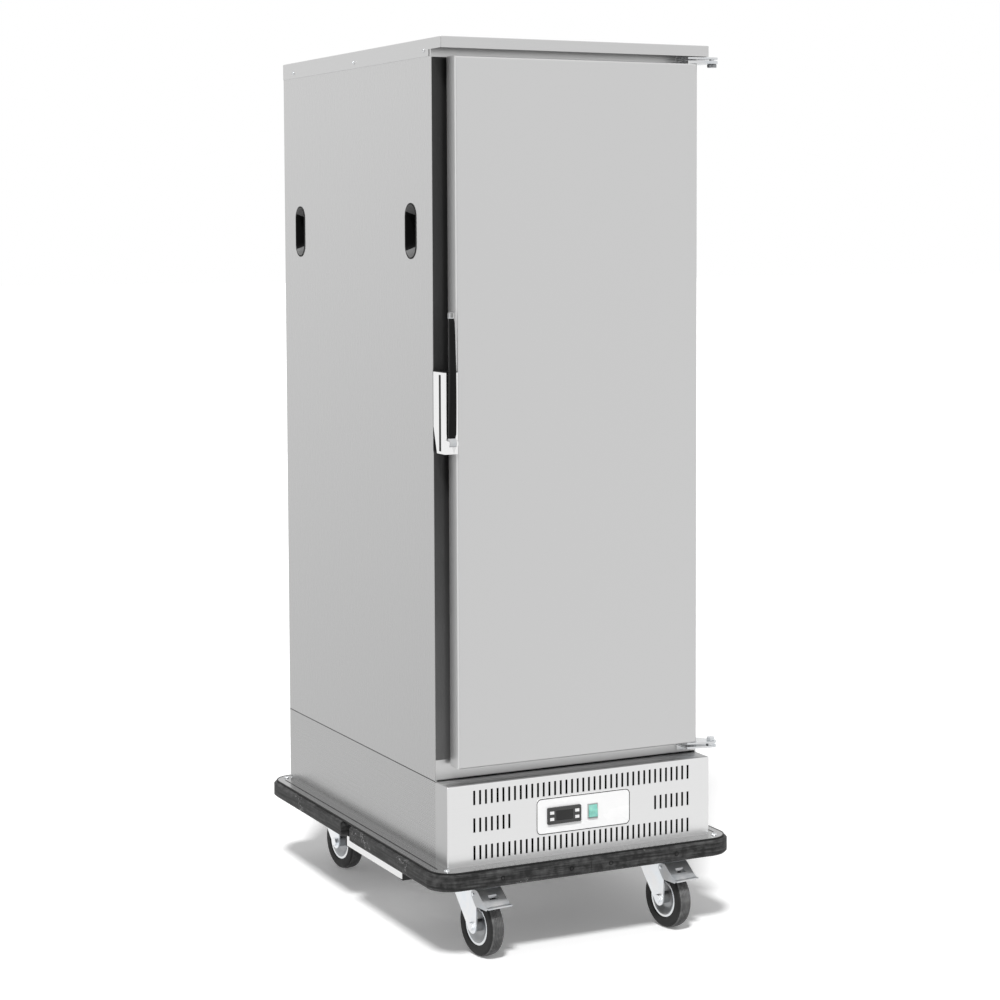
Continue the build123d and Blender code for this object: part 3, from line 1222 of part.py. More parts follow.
def finned_coil(x0, x1, y0, y1, z0, z1):
    """Coil block with fin gaps on both faces between two end sheets."""
    core = slab(x0 + COIL_END_SHEET, x1 - COIL_END_SHEET, y0, y1, z0 + COIL_END_SHEET, z1 - COIL_END_SHEET)
    step = (x1 - x0) / (FIN_COUNT + 1)
    for i in range(1, FIN_COUNT + 1):
        x = x0 + i * step
        for cut in ((y0, y0 + FIN_SLOT_DEPTH), (y1 - FIN_SLOT_DEPTH, y1)):
            core -= slab(x - FIN_SLOT / 2, x + FIN_SLOT / 2, *cut, z0 + COIL_END_SHEET, z1 - COIL_END_SHEET)
    for end in ((x0, x0 + COIL_END_SHEET), (x1 - COIL_END_SHEET, x1)):
        core += slab(*end, y0, y1, z0, z1)
    return core


def evaporator_coil():
    """Chamber coil, its tube bends and the four wall blocks that hold it."""
    y0 = COIL_Y - COIL_DEPTH / 2
    y1 = COIL_Y + COIL_DEPTH / 2
    half = COIL_WIDTH / 2
    coil = finned_coil(-half, half, y0, y1, COIL_BOTTOM, COIL_TOP)
    step = COIL_HEIGHT / (COIL_BENDS + 1)
    for i in range(1, COIL_BENDS + 1):
        z = COIL_BOTTOM + i * step
        coil += rod_x(-half - COIL_BEND_OUT, half + COIL_BEND_OUT, COIL_Y, z, COIL_BEND_RADIUS)
    for x0, x1 in ((-half, -half + SPACER_HEIGHT), (half - SPACER_HEIGHT, half)):
        coil += slab(x0, x1, y1, CHAMBER_BACK, COIL_BOTTOM, COIL_TOP)
    return [coil]


def condenser_coil():
    """Machine compartment coil on the deck behind the fascia."""
    half = CONDENSER_WIDTH / 2
    coil = finned_coil(
        -half, half, CONDENSER_FRONT, CONDENSER_BACK, CONDENSER_BOTTOM, CONDENSER_BOTTOM + CONDENSER_HEIGHT
    )
    for x0, x1 in ((-half, -half + SPACER_HEIGHT), (half - SPACER_HEIGHT, half)):
        coil += slab(x0, x1, CONDENSER_FRONT, CONDENSER_BACK, DECK_TOP, CONDENSER_BOTTOM + COIL_END_SHEET)
    return [coil]


def axial_fan(y, z, radius):
    """Hub and pitched blades that widen toward their tips, on an axis along Y."""
    half = FAN_HUB_LENGTH / 2
    fan = rod_y(0, -half, half, 0, FAN_HUB_RADIUS)
    root = FAN_HUB_RADIUS - FAN_BLADE_EMBED
    shoulder = radius - FAN_BLADE_ROOT
    right = [(FAN_BLADE_ROOT / 2, root), (FAN_BLADE_WIDTH / 2, shoulder), (FAN_BLADE_ROOT / 2, radius)]
    left = [(-x, z) for x, z in reversed(right)]
    outline = Polygon(*right, *left, align=None)
    blade = extrude(front_plane(FAN_BLADE_SHEET / 2) * outline, FAN_BLADE_SHEET)
    for i in range(FAN_BLADES):
        fan += Rot(0, i * 360 / FAN_BLADES, 0) * Rot(0, 0, FAN_BLADE_PITCH) * blade
    fan -= rod_y(0, -half, half, 0, SHAFT_RADIUS + RUN_FIT)
    return [Pos(0, y, z) * fan]


def motor(y, z):
    """Round motor behind a fan, with its shaft through the hub."""
    front = y + FAN_HUB_LENGTH / 2 + MOTOR_GAP
    can = rod_y(0, front, front + MOTOR_LENGTH, z, MOTOR_RADIUS)
    can = chamfer(can.edges(), MOTOR_CHAMFER)
    return can + rod_y(0, y - FAN_HUB_LENGTH / 2, front, z, SHAFT_RADIUS)


def fan_motors():
    """Both fan motors with the arms that hold them."""
    half = MOTOR_ARM_WIDTH / 2
    wall_start = EVAPORATOR_FAN_Y + FAN_HUB_LENGTH / 2 + MOTOR_GAP + MOTOR_LENGTH
    wall_arm = slab(-half, half, wall_start, CHAMBER_BACK, EVAPORATOR_FAN_Z - half, EVAPORATOR_FAN_Z + half)
    stand_y = CONDENSER_FAN_Y + FAN_HUB_LENGTH / 2 + MOTOR_GAP + MOTOR_LENGTH
    stand = slab(-half, half, stand_y, stand_y + MOTOR_ARM, DECK_TOP, CONDENSER_FAN_Z + half)
    return [
        motor(EVAPORATOR_FAN_Y, EVAPORATOR_FAN_Z), wall_arm,
        motor(CONDENSER_FAN_Y, CONDENSER_FAN_Z), stand,
    ]


def compressor():
    """Domed can on a foot with four rubber grommets and a terminal box."""
    shoulder = COMPRESSOR_HEIGHT - COMPRESSOR_SHOULDER
    profile = Polygon(
        (0, 0), (COMPRESSOR_RADIUS, 0), (COMPRESSOR_RADIUS, shoulder),
        (COMPRESSOR_CROWN, COMPRESSOR_HEIGHT), (0, COMPRESSOR_HEIGHT),
        align=None,
    )
    can = Pos(COMPRESSOR_X, COMPRESSOR_Y, COMPRESSOR_BOTTOM) * revolve(Plane.XZ * profile, Axis.Z)
    half_w = COMPRESSOR_FOOT_WIDTH / 2
    half_d = COMPRESSOR_FOOT_DEPTH / 2
    foot_z = DECK_TOP + GROMMET_HEIGHT
    can += slab(
        COMPRESSOR_X - half_w, COMPRESSOR_X + half_w, COMPRESSOR_Y - half_d, COMPRESSOR_Y + half_d,
        foot_z, COMPRESSOR_BOTTOM,
    )
    box_z = COMPRESSOR_BOTTOM + TERMINAL_DEPTH
    can += slab(
        COMPRESSOR_X - TERMINAL_BOX / 2, COMPRESSOR_X + TERMINAL_BOX / 2,
        COMPRESSOR_Y - COMPRESSOR_RADIUS - TERMINAL_DEPTH, COMPRESSOR_Y,
        box_z, box_z + TERMINAL_BOX,
    )
    pieces = [can]
    for sx in (-1, 1):
        for sy in (-1, 1):
            x = COMPRESSOR_X + sx * (half_w - GROMMET_INSET)
            y = COMPRESSOR_Y + sy * (half_d - GROMMET_INSET)
            pieces.append(rod_z(x, y, DECK_TOP, foot_z, GROMMET_RADIUS))
    return pieces


def tube(points, radius):
    """Round line through the points, each corner made by two mitres."""
    path = [Vector(*points[0])]
    for before, corner, after in zip(points, points[1:], points[2:]):
        here = Vector(*corner)
        path.append(here + (Vector(*before) - here).normalized() * LINE_CORNER)
        path.append(here + (Vector(*after) - here).normalized() * LINE_CORNER)
    path.append(Vector(*points[-1]))
    route = Polyline(*path)
    start = Plane(origin=route @ 0, z_dir=route % 0)
    return sweep(start * Circle(radius), path=route, transition=Transition.RIGHT)


def refrigerant_lines():
    """Compressor to condenser, condenser to evaporator and evaporator back to compressor."""
    can_top = COMPRESSOR_BOTTOM + COMPRESSOR_HEIGHT
    half = CONDENSER_WIDTH / 2
    low = CONDENSER_BOTTOM + COIL_END_SHEET + LINE_BEND
    coil_end = COIL_WIDTH / 2
    inlet_z = COIL_BOTTOM + COIL_BEND_OUT
    over_can = can_top + 2 * LINE_BEND
    stub_y = CONDENSER_BACK - FIN_SLOT_DEPTH
    discharge = tube(
        [(COMPRESSOR_X, COMPRESSOR_Y, can_top), (COMPRESSOR_X, COMPRESSOR_Y, over_can),
         (LINE_X, COMPRESSOR_Y, over_can), (LINE_X, stub_y, over_can), (half, stub_y, over_can)],
        LINE_RADIUS,
    )
    liquid = tube(
        [(-half, stub_y, low), (-LINE_X, stub_y, low),
         (-LINE_X, COIL_Y, low), (-LINE_X, COIL_Y, inlet_z), (-coil_end, COIL_Y, inlet_z)],
        LINE_RADIUS,
    )
    suction = tube(
        [(coil_end, COIL_Y, inlet_z), (LINE_X, COIL_Y, inlet_z), (LINE_X, COIL_Y, SUCTION_Z),
         (COMPRESSOR_X, COIL_Y, SUCTION_Z),
         (COMPRESSOR_X, COMPRESSOR_Y + COMPRESSOR_RADIUS, SUCTION_Z)],
        LINE_RADIUS,
    )
    return [discharge, liquid, suction]


def drain_hose():
    """Hose from the chamber floor down to just above the drip tray."""
    bottom = DRIP_TOP + DRAIN_ABOVE_TRAY
    hose = rod_z(DRAIN_X, DRAIN_Y, bottom, CHAMBER_FLOOR, DRAIN_RADIUS)
    return [hose - rod_z(DRAIN_X, DRAIN_Y, bottom, CHAMBER_FLOOR, DRAIN_RADIUS - DRAIN_WALL)]


def drip_tray():
    """Open tray with rounded corners that slides out to the left."""
    middle = Pos((DRIP_LEFT + DRIP_RIGHT) / 2, DRIP_Y)
    outer = middle * RectangleRounded(DRIP_WIDTH, DRIP_LENGTH, DRIP_CORNER)
    inner = middle * RectangleRounded(
        DRIP_WIDTH - 2 * DRIP_SHEET, DRIP_LENGTH - 2 * DRIP_SHEET, DRIP_CORNER - DRIP_SHEET
    )
    pan = extrude(level(DRIP_BOTTOM) * outer, DRIP_HEIGHT)
    return [pan - extrude(level(DRIP_BOTTOM + DRIP_SHEET) * inner, DRIP_HEIGHT)]


def all_nodes():
    """Every node's name with its solids."""
    nodes = {
        "chassis_frame": chassis_frame(),
        "chassis_deck": chassis_deck(),
        "bumper": bumper(),
        "caster_plates": caster_plates(),
        "base_panels": base_panels(),
        "side_panels": side_panels(),
        "back_panel": back_panel(),
        "rear_grille": rear_grille(),
        "top_cover": top_cover(),
        "insulation": insulation(),
        "inner_liner": inner_liner(),
        "breaker_frame": breaker_frame(),
        "front_frame": front_frame(),
        "grip_cups": grip_cups(),
        "fascia": fascia(),
        "control_plate": control_plate(),
        "thermostat_case": thermostat_case(),
        "rocker_bezel": rocker_bezel(),
        "tray_racks": tray_racks(),
        "air_duct": air_duct(),
        "evaporator_coil": evaporator_coil(),
        "fan_motors": fan_motors(),
        "compressor": compressor(),
        "condenser_coil": condenser_coil(),
        "refrigerant_lines": refrigerant_lines(),
        "drain_hose": drain_hose(),
        "hinge_brackets": hinge_brackets(),
        "latch_keeper": latch_keeper(),
        "power_inlet": power_inlet(),
        "door_skin": door_skin(),
        "door_core": door_core(),
        "door_liner": door_liner(),
        "door_gasket": door_gasket(),
        "door_hinge_plates": door_hinge_plates(),
        "latch_body": latch_body(),
        "latch_lever": latch_lever(),
        "latch_grip": latch_grip(),
        "latch_bolt": latch_bolt(),
        "power_rocker": power_rocker(),
        "evaporator_fan": axial_fan(EVAPORATOR_FAN_Y, EVAPORATOR_FAN_Z, EVAPORATOR_FAN_RADIUS),
        "condenser_fan": axial_fan(CONDENSER_FAN_Y, CONDENSER_FAN_Z, CONDENSER_FAN_RADIUS),
        "drip_tray": drip_tray(),
    }
    for place in BUTTONS:
        nodes["thermostat_button_" + place] = thermostat_button(place)
    for place in CASTERS:
        nodes["caster_fork_" + place] = caster_fork(place)
        nodes["caster_rim_" + place] = caster_rim(place)
        nodes["caster_tyre_" + place] = caster_tyre(place)
    for place in BRAKED:
        nodes["brake_pedal_" + place] = brake_pedal(place)
    return nodes


def main():
    """Write one file for each node."""
    os.makedirs("parts", exist_ok=True)
    for name, shapes in all_nodes().items():
        solids = [solid for shape in shapes for solid in shape.solids()]
        export_step(Compound(children=solids), "parts/" + name + ".step")


main()
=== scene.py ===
"""Looks of the refrigerated trolley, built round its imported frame, in metres."""
import json
import math

import bmesh
import bpy
from mathutils import Matrix, Vector


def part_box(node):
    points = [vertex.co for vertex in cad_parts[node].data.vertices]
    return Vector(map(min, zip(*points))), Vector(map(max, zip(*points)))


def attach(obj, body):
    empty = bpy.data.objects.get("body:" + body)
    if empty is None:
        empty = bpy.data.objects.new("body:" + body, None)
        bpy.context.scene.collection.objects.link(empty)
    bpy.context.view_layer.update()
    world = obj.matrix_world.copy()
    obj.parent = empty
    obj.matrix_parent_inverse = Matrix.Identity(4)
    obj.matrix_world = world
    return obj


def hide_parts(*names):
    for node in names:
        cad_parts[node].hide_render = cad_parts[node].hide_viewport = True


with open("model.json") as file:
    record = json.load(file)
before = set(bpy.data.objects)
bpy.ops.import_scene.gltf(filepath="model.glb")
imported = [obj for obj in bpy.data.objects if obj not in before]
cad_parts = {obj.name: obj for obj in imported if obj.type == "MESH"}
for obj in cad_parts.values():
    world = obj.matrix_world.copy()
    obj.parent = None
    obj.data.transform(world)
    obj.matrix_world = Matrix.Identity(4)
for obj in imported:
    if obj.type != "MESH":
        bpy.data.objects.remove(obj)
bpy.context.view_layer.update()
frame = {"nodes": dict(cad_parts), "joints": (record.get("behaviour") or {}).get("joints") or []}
NODES = frame["nodes"]
JOINTS = {joint["name"]: joint for joint in frame["joints"]}

# Camera
CAMERA_PLACE = (-2.1765, -4.5809, 1.4480)
CAMERA_LEVEL = math.radians(90)
CAMERA_YAW = math.radians(-26.67)
CAMERA_PITCH = math.radians(-3.97)
CAMERA_ROLL = -0.003
CAMERA_LENS = 84.22
CAMERA_SENSOR = 36.0
CAMERA_SHIFT = (-0.0389, -0.1050)

# Light and floor
WHITE_LEVEL = 1.0
WORLD_LEVEL = 0.44
DARK_SIDE = (-0.43, -0.90, 0.05)
DARK_SIDE_LEVEL = 0.12
DARK_SIDE_START = 0.90
DARK_SIDE_END = 0.985
FIRST_MATT_BOUNCE = 0.5
FLOOR_HALF = 60.0
FLOOR_ALBEDO = 0.80
FLOOR_SHOWN_ALBEDO = 1.02
FLOOR_LIFT = 0.15
FLOOR_ROUGHNESS = 0.9
SUN_STRENGTH = 2.5
SUN_SPREAD = math.radians(9)
SUN_LEAN = (math.radians(30.8), math.radians(-21.2))

# The screen's levels and the curve from them to linear light
SCREEN_LEVELS = 255
SRGB_OFFSET = 0.055
SRGB_POWER = 2.4

# Metal tones, as levels on the screen
DOOR_TONE = 206
# Painted light: the door's returns are paler than its front
DOOR_RETURN_PAINTED_LIGHT_TONE = 224
SIDE_TONE = 198
# Painted shade: the side sheets darken toward their bottom
SIDE_LOW_PAINTED_SHADE_TONE = 176
# Painted shade: the base sheets, and the rear grille in the same steel, are darker than the side sheets
# above
BASE_PAINTED_SHADE_TONE = 172
FASCIA_TONE = 234
# Painted shade: the fascia's returns are darker than its front
FASCIA_RETURN_PAINTED_SHADE_TONE = 186
COVER_TONE = 203
INSIDE_TONE = 226
DECK_TONE = 160
# Painted shade: the fascia's top, under the door, is darker than its front
LEDGE_PAINTED_SHADE_TONE = 183
TRAY_TONE = 244
FIN_TONE = 215
ZINC_TONE = 222
CHROME_TONE = 238

# How many levels a material's shades differ from its tone
STEEL_SHADE = 2
ZINC_SHADE = 10
PLASTIC_SHADE = 3
PAINT_DARK_SHADE = 2
PAINT_PALE_SHADE = 3

# Plain colours, each with a darker and a paler shade
COPPER = (0.60, 0.30, 0.18)
COPPER_SHADES = ((0.46, 0.22, 0.13), (0.70, 0.37, 0.24))
FOAM = (0.72, 0.60, 0.36)
FOAM_SHADES = ((0.60, 0.49, 0.28), (0.78, 0.67, 0.42))
GREEN = (0.24, 0.60, 0.52)
GREEN_SHADES = ((0.20, 0.55, 0.47), (0.30, 0.66, 0.57))
BLUISH = (0.96, 1.0, 1.04)

# Where a painted tone changes: heights of the painted shade on the side panels and of the painted light on
# the jambs, and distances behind a front where the painted light and shade of the returns begin
SIDE_PAINTED_SHADE_HEIGHTS = (0.36, 1.83)
JAMB_PAINTED_LIGHT_HEIGHTS = (0.40, 1.10)
RETURN_START = 0.0006
RETURN_FULL = 0.0020

# Grain of the materials: scales per metre, the drawing out of marks, and a noise's usual range
FINE_GRAIN = 1800.0
CLOUDS = 40.0
SCRATCH_PATCH_RATIO = 4
BRUSH_STRETCH = 0.004
STREAK_STRETCH = (0.05, 0.05, 1.0)
NOISE_LOW = 0.3
NOISE_MIDDLE = 0.5
NOISE_HIGH = 0.7

# Gloss of rubber, and how far light goes into the green switch cap
RUBBER_GLOSS = 0.2
ROCKER_SUBSURFACE = 0.25
ROCKER_SUBSURFACE_DEPTH = 0.002

# Wheels
WHEEL_PLACES = ("front_left", "front_right", "rear_left", "rear_right")
WHEEL_SEGMENTS = 96
TYRE_HALF = 0.0155
TYRE_SEAT = 0.0405
TYRE_SHOULDER = 0.0062
TYRE_CROWN = 0.0007
BEAD_DROP = 0.0022
BEAD_ROUND_OUT = 0.0016
BEAD_ROUND_DROP = 0.0005
WALL_START = 0.005
SHOULDER_STEPS = 6
TREAD_LAP = 2
TREAD_GROOVES = (0.0075, 0.0038)
GROOVE_HALF = 0.0006
GROOVE_DEPTH = 0.0012
HUB_BORE = 0.0053
HUB_RADIUS = 0.012
HUB_HALF = 0.020
HUB_EDGE = 0.001
WEB_HALF = 0.0032
LIP_HALF = 0.0140
LIP_RADIUS = 0.0381
LIP_FLAT_END = 0.0012
LIP_ROUND_IN = 0.0003
LIP_ROUND_DROP = 0.0006
LIP_DROP = 0.0018
DISH_START = 0.25
DISH_STEPS = 10

# Screws and bolts, with a head's outline as shares of its radius and height
SCREW_RADIUS = 0.0042
SCREW_HEIGHT = 0.0022
SCREW_SEGMENTS = 24
SCREW_OUTLINE = ((1.0, 0.0), (1.0, 0.25), (0.92, 0.6), (0.7, 0.88), (0.4, 1.0), (0.34, 0.45))
COVER_SCREW_BELOW_TOP = 0.023
COVER_SCREW_YS = (-0.348, 0.014, 0.371)
BACK_SCREW_INSET = 0.016
BACK_SCREW_ROWS = 7
GRILLE_SCREWS = 5
DECK_BOLT = (0.306, 0.447)
DECK_BOLT_SCALE = 1.5

# Bumper plugs, with their outline as shares of their radius and rise
PLUG_RADIUS = 0.0052
PLUG_PROUD = 0.0006
PLUG_OUTLINE = ((1.0, -1.0), (1.0, 0.5), (0.9, 1.0), (0.62, 1.0), (0.55, 0.3))
PLUG_XS = (0.045, 0.198)

# Edges of the deck, with a painted shadow in the gap round it and painted shade lines along its folds, and
# seams of the side sheets
DECK_CORNER = 0.046
TRIM_OUT = 0.0016
TRIM_LAP = 0.0006
TRIM_RISE = 0.0004
DECK_SHADE_LINE_X = 0.317
DECK_SHADE_LINE_WIDTH = 0.0018
DECK_SHADE_LINE_RISE = 0.0006
DECK_SHADE_LINE_END = 0.045
PANEL_SEAM_HEIGHT = 0.0018
PANEL_SEAM_IN = 0.0010
PANEL_SEAM_PROUD = 0.0002

# Edge rounds of nodes whose names start so, and the steps and angles of rounds
EDGE_ROUNDS = {
    "thermostat_button_": 0.0008, "power_rocker": 0.0008, "rocker_bezel": 0.0006, "thermostat_case": 0.0005,
    "caster_fork_": 0.0006, "brake_pedal_": 0.0006, "latch_lever": 0.0006, "hinge_brackets": 0.0005,
    "door_hinge_plates": 0.0005,
}
EDGE_SEGMENTS = 2
EDGE_ANGLE = math.radians(50)
SHARP_ANGLE = math.radians(38)
BLOCK_SEGMENTS = 3
CORNER_STEPS = 10

# Hand grips in the sides
CUP_FLANGE = 0.0012
CUP_FLANGE_THICK = 0.0008
CUP_WALL = 0.0020
CUP_SLOPE = 0.0080
CUP_WIDTH = 0.054
CUP_DEPTH = 0.024
CUP_END = 0.020

# Hand grip of the latch
GRIP_TOP_WIDTH = 0.0118
GRIP_BOTTOM_WIDTH = 0.0165
GRIP_END_DEPTH = 0.0085
GRIP_MID_DEPTH = 0.0145
GRIP_STEPS = 28
GRIP_CORNER = 0.34
GRIP_END_ROUND = 0.010
GRIP_PINCH = 0.18

# Latch
LATCH_PROUD = 0.004
CAP_WIDTH = 0.0095
CAP_DEPTH = 0.0085
CAP_HEIGHT = 0.0132
CAP_SKIN = 0.0003
CAP_ROUND = 0.0030
STRIP_FROM_FRONT = 0.0180
STRIP_WIDTH = 0.0095
STRIP_IN = 0.0016
STRIP_PROUD = 0.0013
STRIP_END = 0.0050
END_CAP = 0.0020
END_CAP_INSET = END_CAP / 2
END_CAP_ROUND = END_CAP / 4

# Ledge on the fascia
LEDGE_INSET = 0.0035
LEDGE_SHEET = 0.0005
LEDGE_DEPTH = 0.0555
SEAL_DEPTH = 0.0020
SEAL_HEIGHT = 0.0028

# Dust filter behind the slots of the fascia
FILTER_BEHIND = 0.064
FILTER_THICK = 0.0020
FILTER_FOLD = 0.0060
FILTER_FOLDS = 60
FILTER_INSET = 0.006

# Display lens
LENS_WIDTH = 0.0376
LENS_HEIGHT = 0.0196
LENS_IN = 0.0010
LENS_BACK = 0.0002
LENS_ROUND = 0.0004

# Hinge bush
HINGE_ARM_THICK = 0.006
BUSH_RADIUS = 0.0097
BUSH_HEIGHT = 0.0070
BUSH_GAP = 0.0003
BUSH_EDGE = 0.0010

# Pins of the power inlet
PIN_WIDTH = 0.0020
PIN_HEIGHT = 0.0042
PIN_LENGTH = 0.0150
PIN_STEP = 0.0085
PIN_RISE = 0.0030
PIN_ROUND = 0.0006
SOCKET_DEPTH = 0.018

# Printed line on the control plate
LINE_INSET = 0.0004
LINE_WIDTH = 0.0017
LINE_THICK = 0.00015
LINE_CORNER = 0.0106


def grey(level, tint=(1.0, 1.0, 1.0)):
    """Linear colour of a grey that shows at this level on the screen, with a slight tint."""
    linear = ((level / SCREEN_LEVELS + SRGB_OFFSET) / (1 + SRGB_OFFSET)) ** SRGB_POWER
    return tuple(linear * t for t in tint)


def between(first, second, share):
    """Value at a share of the way from the first to the second."""
    return first + (second - first) * share


def spread(first, last, count):
    """So many places, evenly from the first to the last."""
    return [between(first, last, i / (count - 1)) for i in range(count)]


def calculate(tree, operation, *terms):
    """Result of a Math node whose terms are sockets or plain numbers."""
    node = tree.nodes.new("ShaderNodeMath")
    node.operation = operation
    for socket, term in zip(node.inputs, terms):
        if isinstance(term, bpy.types.NodeSocket):
            tree.links.new(term, socket)
        else:
            socket.default_value = term
    return node.outputs[0]


def shader(name, colour, metallic, roughness):
    """Principled material with its plain values set on the shader."""
    made = bpy.data.materials.new(name)
    made.use_nodes = True
    bsdf = made.node_tree.nodes["Principled BSDF"]
    bsdf.inputs["Base Color"].default_value = (*colour, 1)
    bsdf.inputs["Metallic"].default_value = metallic
    bsdf.inputs["Roughness"].default_value = roughness
    return made, bsdf


def noise(made, scale, detail, stretch=(1.0, 1.0, 1.0)):
    """Noise in the object's own metres, drawn out where stretch is small."""
    nodes = made.node_tree.nodes
    links = made.node_tree.links
    place = nodes.new("ShaderNodeTexCoord")
    mapping = nodes.new("ShaderNodeMapping")
    mapping.inputs["Scale"].default_value = stretch
    texture = nodes.new("ShaderNodeTexNoise")
    texture.inputs["Scale"].default_value = scale
    texture.inputs["Detail"].default_value = detail
    links.new(place.outputs["Object"], mapping.inputs["Vector"])
    links.new(mapping.outputs["Vector"], texture.inputs["Vector"])
    return texture.outputs["Fac"]


def vary_roughness(made, bsdf, fac, less, more):
    """Let the roughness run from so much less to so much more than its plain value, with a noise."""
    roughness = bsdf.inputs["Roughness"]
    ramp = made.node_tree.nodes.new("ShaderNodeMapRange")
    ramp.inputs["From Min"].default_value = NOISE_LOW
    ramp.inputs["From Max"].default_value = NOISE_HIGH
    ramp.inputs["To Min"].default_value = roughness.default_value - less
    ramp.inputs["To Max"].default_value = roughness.default_value + more
    made.node_tree.links.new(fac, ramp.inputs["Value"])
    made.node_tree.links.new(ramp.outputs["Result"], roughness)


def vary_colour(made, fac, socket, low, high, start=NOISE_LOW, end=NOISE_HIGH):
    """Let a colour socket run between two colours with a noise or share."""
    ramp = made.node_tree.nodes.new("ShaderNodeValToRGB")
    ramp.color_ramp.elements[0].position = start
    ramp.color_ramp.elements[0].color = (*low, 1)
    ramp.color_ramp.elements[1].position = end
    ramp.color_ramp.elements[1].color = (*high, 1)
    made.node_tree.links.new(fac, ramp.inputs["Fac"])
    made.node_tree.links.new(ramp.outputs["Color"], socket)


def bump(made, bsdf, fac, depth, strength):
    """Raise the surface with a noise, so many metres deep."""
    node = made.node_tree.nodes.new("ShaderNodeBump")
    node.inputs["Distance"].default_value = depth
    node.inputs["Strength"].default_value = strength
    made.node_tree.links.new(fac, node.inputs["Height"])
    made.node_tree.links.new(node.outputs["Normal"], bsdf.inputs["Normal"])


def place_share(made, axis, limits, grain, weight):
    """Share that rises from 0 to 1 between two places along an axis, with a little of a grain in it."""
    nodes = made.node_tree.nodes
    links = made.node_tree.links
    place = nodes.new("ShaderNodeTexCoord")
    split = nodes.new("ShaderNodeSeparateXYZ")
    ramp = nodes.new("ShaderNodeMapRange")
    ramp.inputs["From Min"].default_value = limits[0]
    ramp.inputs["From Max"].default_value = limits[1]
    links.new(place.outputs["Object"], split.inputs["Vector"])
    links.new(split.outputs[axis], ramp.inputs["Value"])
    return calculate(made.node_tree, "MULTIPLY_ADD", grain, weight, ramp.outputs["Result"])


def returns_of(node):
    """Places behind a node's front between which its tone changes to the painted tone of its returns, which
    stands in for light and shade on them.
    """
    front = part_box(node)[0].y
    return front + RETURN_START, front + RETURN_FULL


def brushed_steel(name, tone, along, roughness, fade=None):
    """Satin stainless sheet, brushed along one axis; a fade, a painted change of tone that stands in for
    light and shade, has an axis, two places and the first's tone.
    """
    made, bsdf = shader(name, grey(tone), metallic=1.0, roughness=roughness)
    colour = bsdf.inputs["Base Color"]
    stretch = [1.0, 1.0, 1.0]
    stretch["xyz".index(along)] = BRUSH_STRETCH
    grain = noise(made, FINE_GRAIN, detail=2.0, stretch=stretch)
    if fade is None:
        dark = grey(tone - STEEL_SHADE)
        vary_colour(made, grain, colour, dark, grey(tone + STEEL_SHADE), start=0.25, end=0.75)
    else:
        axis, limits, first_tone = fade
        share = place_share(made, axis, limits, grain, weight=0.12)
        vary_colour(made, share, colour, grey(first_tone), grey(tone), start=0.0, end=1.0)
    vary_roughness(made, bsdf, grain, less=0.02, more=0.03)
    bump(made, bsdf, grain, depth=0.00001, strength=0.15)
    return made


def zinc(name, tone, roughness):
    """Bright zinc plate with faint blue clouds."""
    made, bsdf = shader(name, grey(tone), metallic=1.0, roughness=roughness)
    cloud = noise(made, CLOUDS, detail=3.0)
    vary_colour(made, cloud, bsdf.inputs["Base Color"], grey(tone - ZINC_SHADE, BLUISH), grey(tone))
    vary_roughness(made, bsdf, cloud, less=0.05, more=0.06)
    return made


def chrome(name, tone, roughness):
    """Polished plate with faint cloudiness."""
    made, bsdf = shader(name, grey(tone), metallic=1.0, roughness=roughness)
    cloud = noise(made, CLOUDS, detail=3.0)
    vary_roughness(made, bsdf, cloud, less=0.03, more=0.05)
    return made


def plastic(name, tone, roughness, gloss=0.5, grain_depth=0.00003, painted_low_tone=None):
    """Moulded plastic with a fine grain; where it has a low tone, it is painted paler toward the bottom as
    painted light.
    """
    made, bsdf = shader(name, grey(tone), metallic=0.0, roughness=roughness)
    bsdf.inputs["Specular IOR Level"].default_value = gloss
    colour = bsdf.inputs["Base Color"]
    grain = noise(made, FINE_GRAIN, detail=2.0)
    patch = noise(made, scale=14.0, detail=3.0)
    if painted_low_tone is None:
        vary_colour(made, patch, colour, grey(tone - PLASTIC_SHADE), grey(tone + PLASTIC_SHADE))
    else:
        share = place_share(made, "Z", JAMB_PAINTED_LIGHT_HEIGHTS, patch, weight=0.2)
        vary_colour(made, share, colour, grey(painted_low_tone), grey(tone), start=0.0, end=1.0)
    vary_roughness(made, bsdf, patch, less=0.05, more=0.05)
    bump(made, bsdf, grain, grain_depth, strength=0.6)
    return made


def rubber(name, tone, scuff_tone, roughness):
    """Matt rubber with mottling and pale scuffs."""
    made, bsdf = shader(name, grey(tone), metallic=0.0, roughness=roughness)
    bsdf.inputs["Specular IOR Level"].default_value = RUBBER_GLOSS
    mottle = noise(made, scale=55.0, detail=6.0)
    grain = noise(made, scale=900.0, detail=3.0)
    vary_colour(made, mottle, bsdf.inputs["Base Color"], grey(tone), grey(scuff_tone), start=0.42, end=0.78)
    vary_roughness(made, bsdf, mottle, less=0.12, more=0.08)
    bump(made, bsdf, grain, depth=0.00012, strength=0.5)
    return made


def contour_lines(made, scale, width, cover):
    """Share that is 1 on thin winding lines, in scattered patches."""
    tree = made.node_tree
    near = calculate(tree, "COMPARE", noise(made, scale, detail=4.0), NOISE_MIDDLE, width)
    chosen = calculate(tree, "GREATER_THAN", noise(made, scale / SCRATCH_PATCH_RATIO, detail=2.0), cover)
    return calculate(tree, "MULTIPLY", near, chosen)


